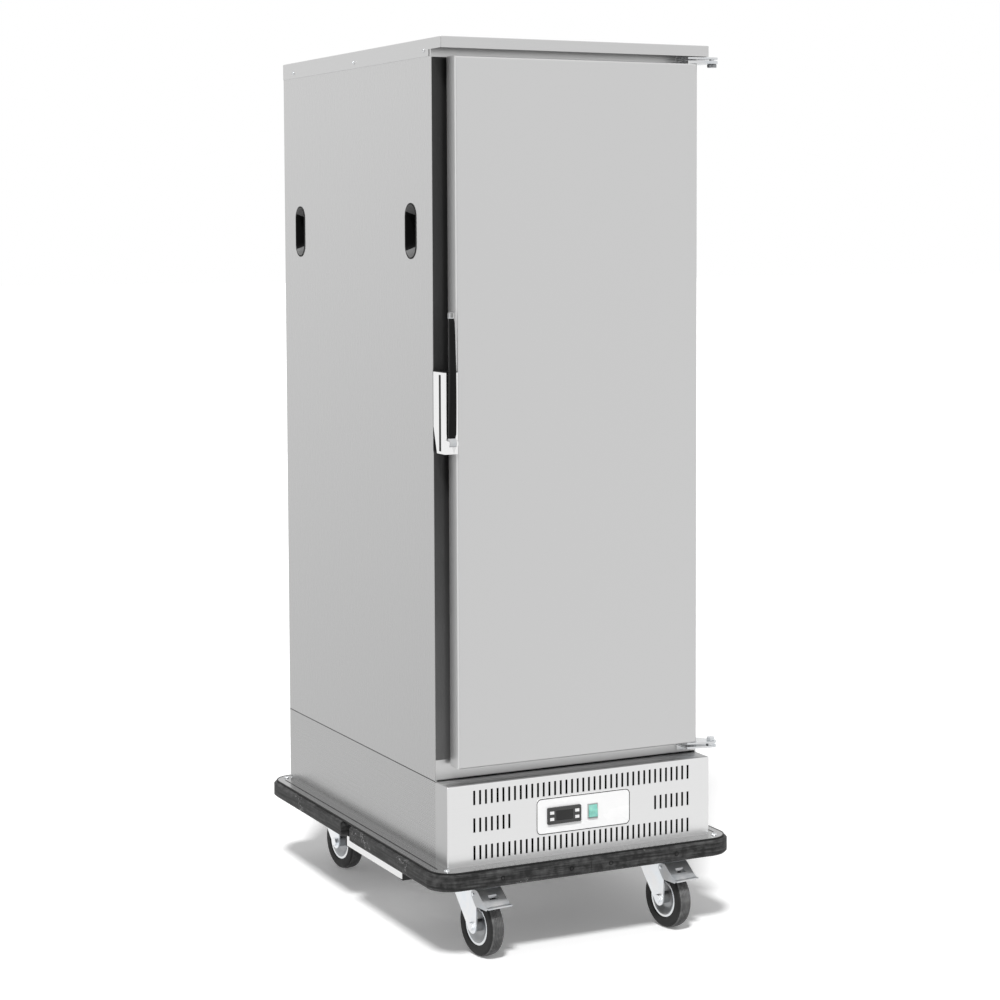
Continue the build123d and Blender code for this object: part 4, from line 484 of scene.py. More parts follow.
def scuffed_rubber(name, tone, streak_tone, scratch_tone, roughness):
    """Extruded rubber with streaks along its length and pale winding scratches."""
    made, bsdf = shader(name, grey(tone), metallic=0.0, roughness=roughness)
    bsdf.inputs["Specular IOR Level"].default_value = RUBBER_GLOSS
    tree = made.node_tree
    streak = noise(made, scale=260.0, detail=5.0, stretch=STREAK_STRETCH)
    mottle = noise(made, scale=70.0, detail=6.0)
    worn = calculate(tree, "MULTIPLY", streak, mottle)
    scratch = contour_lines(made, scale=55.0, width=0.006, cover=0.60)
    mix = tree.nodes.new("ShaderNodeMix")
    mix.data_type = "RGBA"
    mix.inputs["B"].default_value = (*grey(scratch_tone), 1)
    vary_colour(made, worn, mix.inputs["A"], grey(tone), grey(streak_tone), start=0.18, end=0.40)
    tree.links.new(scratch, mix.inputs["Factor"])
    tree.links.new(mix.outputs["Result"], bsdf.inputs["Base Color"])
    vary_roughness(made, bsdf, mottle, less=0.12, more=0.08)
    bump(made, bsdf, streak, depth=0.00025, strength=0.5)
    return made


def painted(name, tone, roughness):
    """Painted steel with slight orange peel."""
    made, bsdf = shader(name, grey(tone), metallic=0.0, roughness=roughness)
    peel = noise(made, scale=350.0, detail=2.0)
    dark = grey(tone - PAINT_DARK_SHADE)
    vary_colour(made, peel, bsdf.inputs["Base Color"], dark, grey(tone + PAINT_PALE_SHADE))
    vary_roughness(made, bsdf, peel, less=0.06, more=0.06)
    bump(made, bsdf, peel, depth=0.00008, strength=0.4)
    return made


def copper(name, roughness):
    """Drawn copper tube, slightly dulled."""
    made, bsdf = shader(name, COPPER, metallic=1.0, roughness=roughness)
    cloud = noise(made, scale=35.0, detail=4.0)
    vary_colour(made, cloud, bsdf.inputs["Base Color"], *COPPER_SHADES)
    vary_roughness(made, bsdf, cloud, less=0.08, more=0.12)
    return made


def foam(name, roughness):
    """Rigid foam with open cells on its cut faces."""
    made, bsdf = shader(name, FOAM, metallic=0.0, roughness=roughness)
    cells = noise(made, scale=420.0, detail=4.0)
    vary_colour(made, cells, bsdf.inputs["Base Color"], *FOAM_SHADES)
    bump(made, bsdf, cells, depth=0.0004, strength=0.6)
    return made


def green_rocker(name, roughness):
    """Translucent green switch cap, unlit."""
    made, bsdf = shader(name, GREEN, metallic=0.0, roughness=roughness)
    cloud = noise(made, scale=120.0, detail=2.0)
    vary_colour(made, cloud, bsdf.inputs["Base Color"], *GREEN_SHADES)
    bsdf.inputs["Subsurface Weight"].default_value = ROCKER_SUBSURFACE
    bsdf.inputs["Subsurface Scale"].default_value = ROCKER_SUBSURFACE_DEPTH
    return made


def steels():
    """Stainless sheets."""
    # Painted light: the door's returns are paler than its front
    door_painted_light = ("Y", returns_of("door_skin"), DOOR_TONE)
    # Painted shade: the side sheets darken toward their bottom
    side_painted_shade = ("Z", SIDE_PAINTED_SHADE_HEIGHTS, SIDE_LOW_PAINTED_SHADE_TONE)
    # Painted shade: the fascia's returns are darker than its front
    fascia_painted_shade = ("Y", returns_of("fascia"), FASCIA_TONE)
    return {
        "door": brushed_steel("door_steel", DOOR_RETURN_PAINTED_LIGHT_TONE, "z", roughness=0.44, fade=door_painted_light),
        "side": brushed_steel("side_steel", SIDE_TONE, "z", roughness=0.27, fade=side_painted_shade),
        "base": brushed_steel("base_steel", BASE_PAINTED_SHADE_TONE, "y", roughness=0.27),
        "fascia": brushed_steel("fascia_steel", FASCIA_RETURN_PAINTED_SHADE_TONE, "x", roughness=0.30, fade=fascia_painted_shade),
        "cover": brushed_steel("cover_steel", COVER_TONE, "y", roughness=0.30),
        "inside": brushed_steel("inside_steel", INSIDE_TONE, "z", roughness=0.34),
        "deck": brushed_steel("deck_steel", DECK_TONE, "y", roughness=0.25),
        "ledge": brushed_steel("ledge_steel", LEDGE_PAINTED_SHADE_TONE, "x", roughness=0.4),
        "tray": brushed_steel("tray_steel", TRAY_TONE, "y", roughness=0.45),
        "fins": brushed_steel("fin_sheet", FIN_TONE, "z", roughness=0.35),
    }


def plated_metals():
    """Zinc, bronze and polished plate."""
    return {
        "zinc": zinc("zinc_plate", ZINC_TONE, roughness=0.28),
        "fork": zinc("fork_zinc", tone=250, roughness=0.36),
        "pedal": zinc("pedal_zinc", tone=214, roughness=0.6),
        "lip": zinc("rim_lip_zinc", tone=234, roughness=0.24),
        # Painted shade: the rim's recessed dish gets a darker copy of the zinc of its hub and lip
        "dish": zinc("rim_dish_zinc", tone=180, roughness=0.5),
        "bronze": zinc("bush_bronze", tone=150, roughness=0.34),
        "lever": zinc("lever_zinc", tone=204, roughness=0.30),
        "chrome": chrome("polished_plate", CHROME_TONE, roughness=0.08),
    }


def plastics():
    """Moulded and printed plastics."""
    return {
        "dark": plastic("dark_plastic", tone=34, roughness=0.42),
        "case": plastic("case_plastic", tone=58, roughness=0.45),
        "grip": plastic("grip_plastic", tone=14, roughness=0.5, gloss=0.14),
        "cup": plastic("cup_plastic", tone=12, roughness=0.5, gloss=0.14),
        # Painted light: the sloping ends of the hand grips are paler than their walls
        "cup_end": plastic("cup_end_plastic", tone=112, roughness=0.45),
        # Painted light: the dark jamb is painted paler toward its bottom
        "jamb": plastic("jamb_plastic", tone=30, roughness=0.34, painted_low_tone=86),
        "lens": plastic("display_lens", tone=12, roughness=0.12, grain_depth=0.0),
        "cap": plastic("cap_plastic", tone=128, roughness=0.4),
        "grey": plastic("grey_plastic", tone=170, roughness=0.4),
        "white": plastic("white_film", tone=248, roughness=0.25, grain_depth=0.00001),
        "keys": plastic("white_keys", tone=236, roughness=0.35),
        "line": plastic("printed_line", tone=30, roughness=0.4),
    }


def rubbers():
    """Bumper, seals, filter and tyres."""
    return {
        "bumper": scuffed_rubber("bumper_rubber", tone=34, streak_tone=78, scratch_tone=168, roughness=0.6),
        "seal": rubber("seal_rubber", tone=34, scuff_tone=46, roughness=0.6),
        "filter": rubber("filter_mesh", tone=8, scuff_tone=14, roughness=0.9),
        "tyre": rubber("tyre_rubber", tone=40, scuff_tone=56, roughness=0.62),
        "tread": rubber("tread_rubber", tone=92, scuff_tone=128, roughness=0.8),
    }


def other_finishes():
    """Paint, copper, foam and the switch cap."""
    return {
        "chassis": painted("chassis_paint", tone=40, roughness=0.5),
        "machine": painted("machine_paint", tone=26, roughness=0.3),
        "copper": copper("copper_tube", roughness=0.3),
        "foam": foam("foam_core", roughness=0.85),
        "green": green_rocker("green_cap", roughness=0.22),
    }


def make_materials():
    """Every material by name."""
    return {**steels(), **plated_metals(), **plastics(), **rubbers(), **other_finishes()}


def node_finishes():
    """The material's name for each node."""
    finishes = {
        "chassis_frame": "chassis", "chassis_deck": "deck", "bumper": "bumper", "caster_plates": "zinc",
        "base_panels": "base", "side_panels": "side", "back_panel": "side", "rear_grille": "base",
        "top_cover": "cover", "insulation": "foam", "inner_liner": "inside", "breaker_frame": "jamb",
        "front_frame": "cover", "grip_cups": "dark", "fascia": "fascia", "control_plate": "white",
        "thermostat_case": "case", "rocker_bezel": "grey", "tray_racks": "inside", "air_duct": "inside",
        "evaporator_coil": "fins", "fan_motors": "machine", "compressor": "machine",
        "condenser_coil": "fins", "refrigerant_lines": "copper", "drain_hose": "seal",
        "hinge_brackets": "zinc", "latch_keeper": "chrome", "power_inlet": "dark", "door_skin": "door",
        "door_core": "foam", "door_liner": "inside", "door_gasket": "seal", "door_hinge_plates": "zinc",
        "latch_body": "chrome", "latch_lever": "lever", "latch_grip": "grip", "latch_bolt": "chrome",
        "power_rocker": "green", "evaporator_fan": "fins", "condenser_fan": "fins", "drip_tray": "tray",
    }
    starts = {
        "thermostat_button_": "keys", "caster_fork_": "fork", "caster_rim_": "dish", "caster_tyre_": "tyre",
        "brake_pedal_": "pedal",
    }
    for node in NODES:
        for start, finish in starts.items():
            if node.startswith(start):
                finishes[node] = finish
    return finishes


def dress_nodes(materials):
    """Give each node its material."""
    for node, finish in node_finishes().items():
        mesh = NODES[node].data
        mesh.materials.clear()
        mesh.materials.append(materials[finish])


def soften_edges():
    """Round the edges of the small pressed and moulded nodes a little."""
    for node in NODES:
        for start, width in EDGE_ROUNDS.items():
            if node.startswith(start):
                bevel = NODES[node].modifiers.new("edges", "BEVEL")
                bevel.width = width
                bevel.segments = EDGE_SEGMENTS
                bevel.limit_method = "ANGLE"
                bevel.angle_limit = EDGE_ANGLE


def add_piece(name, shape, finishes, body):
    """Turn a bmesh into a piece that rides on a body."""
    mesh = bpy.data.meshes.new(name)
    bmesh.ops.recalc_face_normals(shape, faces=shape.faces[:])
    shape.to_mesh(mesh)
    shape.free()
    mesh.set_sharp_from_angle(angle=SHARP_ANGLE)
    piece = bpy.data.objects.new(name, mesh)
    bpy.context.scene.collection.objects.link(piece)
    for finish in finishes:
        mesh.materials.append(finish)
    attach(piece, body)
    return piece


def facing(point, direction):
    """Place at a point with local Z along a direction."""
    turn = Vector(direction).to_track_quat("Z", "Y").to_matrix().to_4x4()
    return Matrix.Translation(point) @ turn


def join_loops(shape, loops, closed, smooth=True):
    """Bands of faces between neighbouring loops; the last joins the first if closed, or both are capped."""
    bands = []
    following = loops[1:] + loops[:1] if closed else loops[1:]
    for near, far in zip(loops, following):
        band = []
        for i in range(len(near)):
            j = (i + 1) % len(near)
            face = shape.faces.new((near[i], near[j], far[j], far[i]))
            face.smooth = smooth
            band.append(face)
        bands.append(band)
    if not closed:
        shape.faces.new(list(reversed(loops[0])))
        shape.faces.new(loops[-1])
    return bands


def lathe(shape, profile, segments, place, closed=False):
    """Add a body of revolution about local Z: profile is radius and height pairs."""
    rings = []
    for radius, height in profile:
        ring = []
        for i in range(segments):
            turn = 2 * math.pi * i / segments
            point = Vector((radius * math.cos(turn), radius * math.sin(turn), height))
            ring.append(shape.verts.new(place @ point))
        rings.append(ring)
    return join_loops(shape, rings, closed)


def rounded_box(shape, low, high, round_by):
    """Add a block with rounded edges."""
    made = bmesh.ops.create_cube(shape, size=1.0)
    for vert in made["verts"]:
        shares = vert.co + Vector((0.5, 0.5, 0.5))
        vert.co = [between(*ends) for ends in zip(low, high, shares)]
    edges = list(dict.fromkeys(edge for vert in made["verts"] for edge in vert.link_edges))
    bmesh.ops.bevel(
        shape, geom=edges, offset=round_by, segments=BLOCK_SEGMENTS, profile=0.5, affect="EDGES"
    )


def rounded_loop(width, height, corner):
    """Points of a rounded rectangle round its centre, as places across and up."""
    points = []
    for quarter, (side, rise) in enumerate(((1, 1), (-1, 1), (-1, -1), (1, -1))):
        for i in range(CORNER_STEPS + 1):
            turn = math.pi / 2 * (quarter + i / CORNER_STEPS)
            across = side * (width / 2 - corner) + corner * math.cos(turn)
            up = rise * (height / 2 - corner) + corner * math.sin(turn)
            points.append((across, up))
    return points


def mirrored(half):
    """Whole closed section from its upper half."""
    return half + [(radius, -height) for radius, height in reversed(half)]


def tyre_half(radius):
    """Upper half of a tyre's section, from the seat to the middle of the tread, and the tread's bands."""
    half = [
        (TYRE_SEAT, TYRE_HALF - BEAD_DROP), (TYRE_SEAT + BEAD_ROUND_OUT, TYRE_HALF - BEAD_ROUND_DROP),
        (TYRE_SEAT + WALL_START, TYRE_HALF),
    ]
    tread = radius - TYRE_CROWN
    for i in range(SHOULDER_STEPS + 1):
        turn = math.pi / 2 * i / SHOULDER_STEPS
        half.append((
            tread - TYRE_SHOULDER * (1 - math.sin(turn)), TYRE_HALF - TYRE_SHOULDER * (1 - math.cos(turn)),
        ))
    tread_start = len(half) - 1 - TREAD_LAP
    for middle in TREAD_GROOVES:
        half.append((radius - TYRE_CROWN / 2, middle + GROOVE_HALF))
        half.append((radius - GROOVE_DEPTH, middle + GROOVE_HALF / 2))
        half.append((radius - GROOVE_DEPTH, middle - GROOVE_HALF / 2))
        half.append((radius, middle - GROOVE_HALF))
    half.append((radius, GROOVE_HALF))
    half.append((radius - GROOVE_DEPTH, GROOVE_HALF / 2))
    return half, range(tread_start, len(half))


def rim_half():
    """Upper half of a rim's section, hub, dished web and rolled lip, and the dish's bands."""
    half = [(HUB_BORE, HUB_HALF), (HUB_RADIUS - HUB_EDGE, HUB_HALF), (HUB_RADIUS, HUB_HALF - HUB_EDGE)]
    dish_start = len(half) - 1
    for i in range(DISH_STEPS + 1):
        share = i / DISH_STEPS
        rise = max(0.0, share - DISH_START) / (1 - DISH_START)
        rise = rise * rise * (3 - 2 * rise)
        half.append((between(HUB_RADIUS, LIP_RADIUS, share), between(WEB_HALF, LIP_HALF, rise)))
    dish_stop = len(half) - 2
    half.append((TYRE_SEAT - LIP_FLAT_END, LIP_HALF))
    half.append((TYRE_SEAT - LIP_ROUND_IN, LIP_HALF - LIP_ROUND_DROP))
    half.append((TYRE_SEAT, LIP_HALF - LIP_DROP))
    return half, range(dish_start, dish_stop)


def wheel_ring(half, second, place):
    """Ring of a mirrored section, with the second material on some bands and their mirror images."""
    shape = bmesh.new()
    bands = lathe(shape, mirrored(half), WHEEL_SEGMENTS, place, closed=True)
    for i in second:
        for face in bands[i] + bands[len(bands) - 2 - i]:
            face.material_index = 1
    return shape


def wheels(materials):
    """Grooved tyre and dished rim of each wheel."""
    for place_name in WHEEL_PLACES:
        low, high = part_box("caster_tyre_" + place_name)
        place = facing((low + high) / 2, JOINTS["wheel_spin_" + place_name]["axis"])
        body = "wheel_" + place_name
        shape = wheel_ring(*tyre_half((high.z - low.z) / 2), place)
        tyre = add_piece("tyre_" + place_name, shape, [materials["tyre"], materials["tread"]], body)
        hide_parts("caster_tyre_" + place_name)
        shape = wheel_ring(*rim_half(), place)
        rim = add_piece("rim_" + place_name, shape, [materials["lip"], materials["dish"]], body)
        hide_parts("caster_rim_" + place_name)


def screw_head(shape, place, scale=1.0):
    """Low domed screw head that stands on a face along local Z."""
    profile = [(scale * SCREW_RADIUS * r, scale * SCREW_HEIGHT * h) for r, h in SCREW_OUTLINE]
    lathe(shape, profile, SCREW_SEGMENTS, place)


def cover_screws(materials):
    """Screws along both side flanges of the cover."""
    low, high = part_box("top_cover")
    shape = bmesh.new()
    for y in COVER_SCREW_YS:
        for x, side in ((low.x, -1), (high.x, 1)):
            screw_head(shape, facing((x, y, high.z - COVER_SCREW_BELOW_TOP), (side, 0, 0)))
    add_piece("cover_screws", shape, [materials["zinc"]], "cabinet")


def back_screws(materials):
    """Screws up both edges of the back sheet and along the lower grille."""
    low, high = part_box("back_panel")
    shape = bmesh.new()
    for z in spread(low.z + BACK_SCREW_INSET, high.z - BACK_SCREW_INSET, BACK_SCREW_ROWS):
        for x in (low.x + BACK_SCREW_INSET, high.x - BACK_SCREW_INSET):
            screw_head(shape, facing((x, high.y, z), (0, 1, 0)))
    low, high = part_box("rear_grille")
    for x in spread(low.x + BACK_SCREW_INSET, high.x - BACK_SCREW_INSET, GRILLE_SCREWS):
        for z in (low.z + BACK_SCREW_INSET, high.z - BACK_SCREW_INSET):
            screw_head(shape, facing((x, high.y, z), (0, 1, 0)))
    add_piece("back_screws", shape, [materials["zinc"]], "cabinet")


def deck_bolts(materials):
    """Bolt heads at the deck's corners."""
    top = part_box("chassis_deck")[1].z
    shape = bmesh.new()
    for side_x in (-1, 1):
        for side_y in (-1, 1):
            point = (side_x * DECK_BOLT[0], side_y * DECK_BOLT[1], top)
            screw_head(shape, facing(point, (0, 0, 1)), DECK_BOLT_SCALE)
    add_piece("deck_bolts", shape, [materials["zinc"]], "cabinet")


def bumper_plugs(materials):
    """Flush plugs over the bumper's fixing screws, front and back."""
    low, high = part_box("bumper")
    z = (low.z + high.z) / 2
    profile = [(PLUG_RADIUS * r, PLUG_PROUD * h) for r, h in PLUG_OUTLINE]
    shape = bmesh.new()
    for x in PLUG_XS:
        for side_x in (-1, 1):
            for y, side_y in ((low.y + PLUG_PROUD, -1), (high.y - PLUG_PROUD, 1)):
                lathe(shape, profile, SCREW_SEGMENTS, facing((side_x * x, y, z), (0, side_y, 0)))
    add_piece("bumper_plugs", shape, [materials["seal"]], "cabinet")


def deck_gap_shadow_trim(materials):
    """Dark strip round the deck's edge, a painted shadow in the gap between the deck and the bumper."""
    low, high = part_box("chassis_deck")
    width = high.x - low.x
    depth = high.y - low.y
    outer = rounded_loop(width + 2 * TRIM_OUT, depth + 2 * TRIM_OUT, DECK_CORNER + TRIM_OUT)
    inner = rounded_loop(width - 2 * TRIM_LAP, depth - 2 * TRIM_LAP, DECK_CORNER - TRIM_LAP)
    top = high.z + TRIM_RISE
    shape = bmesh.new()
    loops = []
    for points, z in ((outer, low.z), (outer, top), (inner, top), (inner, low.z)):
        loops.append([shape.verts.new((x, y, z)) for x, y in points])
    join_loops(shape, loops, closed=True, smooth=False)
    add_piece("deck_gap_shadow_trim", shape, [materials["seal"]], "cabinet")


def deck_fold_shade_lines(materials):
    """Thin dark bead along each side of the deck, a painted shade line along a fold in the deck sheet."""
    low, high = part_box("chassis_deck")
    shape = bmesh.new()
    for side in (-1, 1):
        x = side * DECK_SHADE_LINE_X
        rounded_box(
            shape, (x - DECK_SHADE_LINE_WIDTH / 2, low.y + DECK_SHADE_LINE_END, high.z - DECK_SHADE_LINE_RISE),
            (x + DECK_SHADE_LINE_WIDTH / 2, high.y - DECK_SHADE_LINE_END, high.z + DECK_SHADE_LINE_RISE), DECK_SHADE_LINE_RISE / 2,
        )
    add_piece("deck_fold_shade_lines", shape, [materials["seal"]], "cabinet")


def panel_seams(materials):
    """Dark seal in the joint between the side sheets and the base sheets, its darkness partly painted shadow
    of the gap.
    """
    low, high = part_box("base_panels")
    z = (high.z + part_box("side_panels")[0].z) / 2
    half = PANEL_SEAM_HEIGHT / 2
    shape = bmesh.new()
    for side, face in ((-1, low.x), (1, high.x)):
        ends = sorted((face + side * PANEL_SEAM_PROUD, face - side * PANEL_SEAM_IN))
        rounded_box(shape, (ends[0], low.y, z - half), (ends[1], high.y, z + half), PANEL_SEAM_PROUD / 2)
    add_piece("panel_seams", shape, [materials["seal"]], "cabinet")


def inlet_pins(materials):
    """Three flat pins in the socket of the power inlet, the middle one higher."""
    low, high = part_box("power_inlet")
    middle = (low + high) / 2
    root = high.y - SOCKET_DEPTH
    shape = bmesh.new()
    for step, rise in ((-1, -PIN_RISE), (0, PIN_RISE), (1, -PIN_RISE)):
        x = middle.x + step * PIN_STEP
        z = middle.z + rise
        rounded_box(
            shape, (x - PIN_WIDTH / 2, root - PIN_ROUND, z - PIN_HEIGHT / 2),
            (x + PIN_WIDTH / 2, root + PIN_LENGTH, z + PIN_HEIGHT / 2), PIN_ROUND,
        )
    add_piece("inlet_pins", shape, [materials["chrome"]], "cabinet")


def cup_rings(height):
    """Width, height and place out from the face of each ring of a cup, from its back round its flange."""
    flange = (CUP_WIDTH + 2 * CUP_FLANGE, height + 2 * CUP_FLANGE)
    mouth = (CUP_WIDTH - 2 * CUP_WALL, height - 2 * CUP_WALL)
    bottom = (CUP_WIDTH - 2 * CUP_WALL, height - 2 * (CUP_WALL + CUP_SLOPE))
    return [
        (CUP_WIDTH, height, -CUP_DEPTH), (CUP_WIDTH, height, 0.0), (*flange, 0.0),
        (*flange, CUP_FLANGE_THICK), (*mouth, CUP_FLANGE_THICK), (*bottom, CUP_WALL - CUP_DEPTH),
    ]


def add_cup(shape, face, side, middle_y, low_z, high_z):
    """Add one cup that goes in from a side's face, with the second material on its sloping ends."""
    height = high_z - low_z
    middle_z = (low_z + high_z) / 2
    loops = []
    for across, tall, out in cup_rings(height):
        x = face + side * out
        points = rounded_loop(across, tall, across / 2)
        loops.append([shape.verts.new((x, middle_y + y, middle_z + z)) for y, z in points])
    bands = join_loops(shape, loops, closed=False)
    for inner_face in bands[-1]:
        if abs(inner_face.calc_center_median().z - middle_z) > height / 2 - CUP_END:
            # the sloping ends get the paler material, as painted light
            inner_face.material_index = 1


def grip_cups(materials):
    """Recessed hand grips with a thin flange and sloping ends."""
    low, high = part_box("grip_cups")
    side_low, side_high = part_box("side_panels")
    shape = bmesh.new()
    for side, face in ((-1, side_low.x), (1, side_high.x)):
        for middle_y in (low.y + CUP_WIDTH / 2, high.y - CUP_WIDTH / 2):
            add_cup(shape, face, side, middle_y, low.z, high.z)
    finishes = [materials["cup"], materials["cup_end"]]
    piece = add_piece("hand_grips", shape, finishes, "cabinet")
    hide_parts("grip_cups")


def latch_grip(materials):
    """Moulded hand grip on the lever: bowed in front, rounded all round and narrower toward its top."""
    low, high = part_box("latch_grip")
    middle_x = low.x + GRIP_BOTTOM_WIDTH / 2
    shape = bmesh.new()
    rings = []
    for i in range(GRIP_STEPS + 1):
        share = i / GRIP_STEPS
        bow = 4 * share * (1 - share)
        end = min(share, 1 - share) * (high.z - low.z)
        ease = math.sqrt(max(0.0, 1 - (1 - min(1.0, end / GRIP_END_ROUND)) ** 2))
        pinch = between(1 - GRIP_PINCH, 1, ease)
        width = between(GRIP_BOTTOM_WIDTH, GRIP_TOP_WIDTH, share) * pinch
        depth = between(GRIP_END_DEPTH, GRIP_MID_DEPTH, bow) * pinch
        middle_y = high.y - depth / 2
        z = between(low.z, high.z, share)
        points = rounded_loop(width, depth, GRIP_CORNER * min(width, depth))
        rings.append([shape.verts.new((middle_x + x, middle_y + y, z)) for x, y in points])
    join_loops(shape, rings, closed=False)
    piece = add_piece("hand_lever_grip", shape, [materials["grip"]], "lever")
    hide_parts("latch_grip")


def lever_cap(materials):
    """Grey plastic cap on the lever's top end."""
    low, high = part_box("latch_lever")
    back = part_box("latch_grip")[1].y
    middle = (low.x + high.x) / 2
    half = CAP_WIDTH / 2 + CAP_SKIN
    shape = bmesh.new()
    rounded_box(
        shape, (middle - half, back - CAP_DEPTH - CAP_SKIN, high.z - CAP_HEIGHT),
        (middle + half, back + CAP_SKIN, high.z + CAP_SKIN), CAP_ROUND,
    )
    add_piece("lever_cap", shape, [materials["cap"]], "lever")


def latch_reflection_strip_and_cap(materials):
    """Dark strip in the groove of the latch, a painted dark reflection on the chrome, and dark end cap on
    its top.
    """
    low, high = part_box("latch_body")
    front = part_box("door_skin")[0].y - LATCH_PROUD
    strip_y = front + STRIP_FROM_FRONT
    shape = bmesh.new()
    rounded_box(
        shape, (low.x + STRIP_IN - STRIP_PROUD, strip_y, low.z + STRIP_END),
        (low.x + STRIP_IN, strip_y + STRIP_WIDTH, high.z - STRIP_END), STRIP_PROUD / 4,
    )
    rounded_box(
        shape, (low.x + END_CAP_INSET, front + END_CAP_INSET, high.z - END_CAP_ROUND),
        (high.x - END_CAP_INSET, high.y - END_CAP_INSET, high.z + END_CAP), END_CAP_ROUND,
    )
    add_piece("latch_reflection_strip_and_cap", shape, [materials["grip"]], "door")


def fascia_ledge(materials):
    """Dull sheet on the fascia's top, darker than the fascia as painted shade under the door, with a dark
    seal along its back.
    """
    low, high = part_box("fascia")
    left = low.x + LEDGE_INSET
    right = high.x - LEDGE_INSET
    back = low.y + LEDGE_DEPTH
    sheet = bmesh.new()
    rounded_box(
        sheet, (left, low.y + LEDGE_INSET, high.z - LEDGE_SHEET / 2),
        (right, back, high.z + LEDGE_SHEET), LEDGE_SHEET / 3,
    )
    add_piece("fascia_ledge", sheet, [materials["ledge"]], "cabinet")
    seal = bmesh.new()
    rounded_box(seal, (left, back - SEAL_DEPTH, high.z), (right, back, high.z + SEAL_HEIGHT), SEAL_DEPTH / 3)
    add_piece("ledge_seal", seal, [materials["seal"]], "cabinet")


def dust_filter(materials):
    """Pleated dark filter across the machine compartment, behind the slots of the fascia."""
    low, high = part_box("fascia")
    shape = bmesh.new()
    loops = []
    for i, x in enumerate(spread(low.x + FILTER_INSET, high.x - FILTER_INSET, FILTER_FOLDS + 1)):
        front = low.y + FILTER_BEHIND + FILTER_FOLD * (i % 2)
        back = front + FILTER_THICK
        corners = ((front, low.z), (front, high.z), (back, high.z), (back, low.z))
        loops.append([shape.verts.new((x, y, z)) for y, z in corners])
    join_loops(shape, loops, closed=False, smooth=False)
    add_piece("dust_filter", shape, [materials["filter"]], "cabinet")


def display_lens(materials):
    """Glossy dark window over the thermostat's display."""
    low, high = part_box("thermostat_case")
    x = (low.x + high.x) / 2
    z = (low.z + high.z) / 2
    shape = bmesh.new()
    rounded_box(
        shape, (x - LENS_WIDTH / 2, low.y + LENS_BACK, z - LENS_HEIGHT / 2),
        (x + LENS_WIDTH / 2, low.y + LENS_IN, z + LENS_HEIGHT / 2), LENS_ROUND,
    )
    add_piece("display_lens", shape, [materials["lens"]], "cabinet")


def hinge_bush(materials):
    """Bronze bush round the nut under the upper hinge arm."""
    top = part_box("door_hinge_plates")[1].z - HINGE_ARM_THICK - BUSH_GAP
    pin = JOINTS["door_hinge"]["pos_m"]
    profile = [
        (BUSH_RADIUS - BUSH_EDGE, 0.0), (BUSH_RADIUS, BUSH_EDGE), (BUSH_RADIUS, BUSH_HEIGHT - BUSH_EDGE),
        (BUSH_RADIUS - BUSH_EDGE, BUSH_HEIGHT),
    ]
    shape = bmesh.new()
    lathe(shape, profile, SCREW_SEGMENTS, facing((pin[0], pin[1], top - BUSH_HEIGHT), (0, 0, 1)))
    add_piece("hinge_bush", shape, [materials["bronze"]], "cabinet")


def plate_line(materials):
    """Thin dark line printed round the control plate."""
    low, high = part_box("control_plate")
    centre = (low + high) / 2
    width = high.x - low.x - 2 * LINE_INSET
    height = high.z - low.z - 2 * LINE_INSET
    outer = rounded_loop(width, height, LINE_CORNER)
    inner = rounded_loop(width - 2 * LINE_WIDTH, height - 2 * LINE_WIDTH, LINE_CORNER - LINE_WIDTH)
    front = low.y - LINE_THICK
    shape = bmesh.new()
    loops = []
    for points, y in ((outer, low.y), (outer, front), (inner, front), (inner, low.y)):
        loops.append([shape.verts.new((centre.x + x, y, centre.z + z)) for x, z in points])
    join_loops(shape, loops, closed=True, smooth=False)
    add_piece("plate_line", shape, [materials["line"]], "cabinet")


def make_camera():
    """Camera at the photograph's place."""
    data = bpy.data.cameras.new("camera")
    data.lens = CAMERA_LENS
    data.sensor_width = CAMERA_SENSOR
    data.shift_x, data.shift_y = CAMERA_SHIFT
    camera = bpy.data.objects.new("camera", data)
    camera.location = CAMERA_PLACE
    yaw = Matrix.Rotation(CAMERA_YAW, 4, "Z")
    pitch = Matrix.Rotation(CAMERA_LEVEL + CAMERA_PITCH, 4, "X")
    roll = Matrix.Rotation(CAMERA_ROLL, 4, "Z")
    camera.rotation_euler = (yaw @ pitch @ roll).to_euler()
    bpy.context.scene.collection.objects.link(camera)
    bpy.context.scene.camera = camera


def ray_share(tree, kinds):
    """Share that is 1 for rays of these kinds."""
    path = tree.nodes.new("ShaderNodeLightPath")
    share = path.outputs[kinds[0]]
    for kind in kinds[1:]:
        share = calculate(tree, "MAXIMUM", share, path.outputs[kind])
    return share


def mirror_share(tree):
    """Share that is 1 for what metal shows, and 0 for light that metal throws on matt surfaces."""
    path = tree.nodes.new("ShaderNodeLightPath")
    shown = calculate(tree, "LESS_THAN", path.outputs["Diffuse Depth"], FIRST_MATT_BOUNCE)
    return calculate(tree, "MULTIPLY", path.outputs["Is Glossy Ray"], shown)


def mix_shaders(tree, share, first, second):
    """Shader that changes from the first to the second with the share."""
    mix = tree.nodes.new("ShaderNodeMixShader")
    tree.links.new(share, mix.inputs["Fac"])
    tree.links.new(first, mix.inputs[1])
    tree.links.new(second, mix.inputs[2])
    return mix.outputs[0]


def background(tree, level):
    """White background of one strength."""
    node = tree.nodes.new("ShaderNodeBackground")
    node.inputs["Color"].default_value = (1, 1, 1, 1)
    node.inputs["Strength"].default_value = level
    return node.outputs[0]


def emission(tree, level):
    """White glow of one strength."""
    node = tree.nodes.new("ShaderNodeEmission")
    node.inputs["Strength"].default_value = level
    return node.outputs[0]


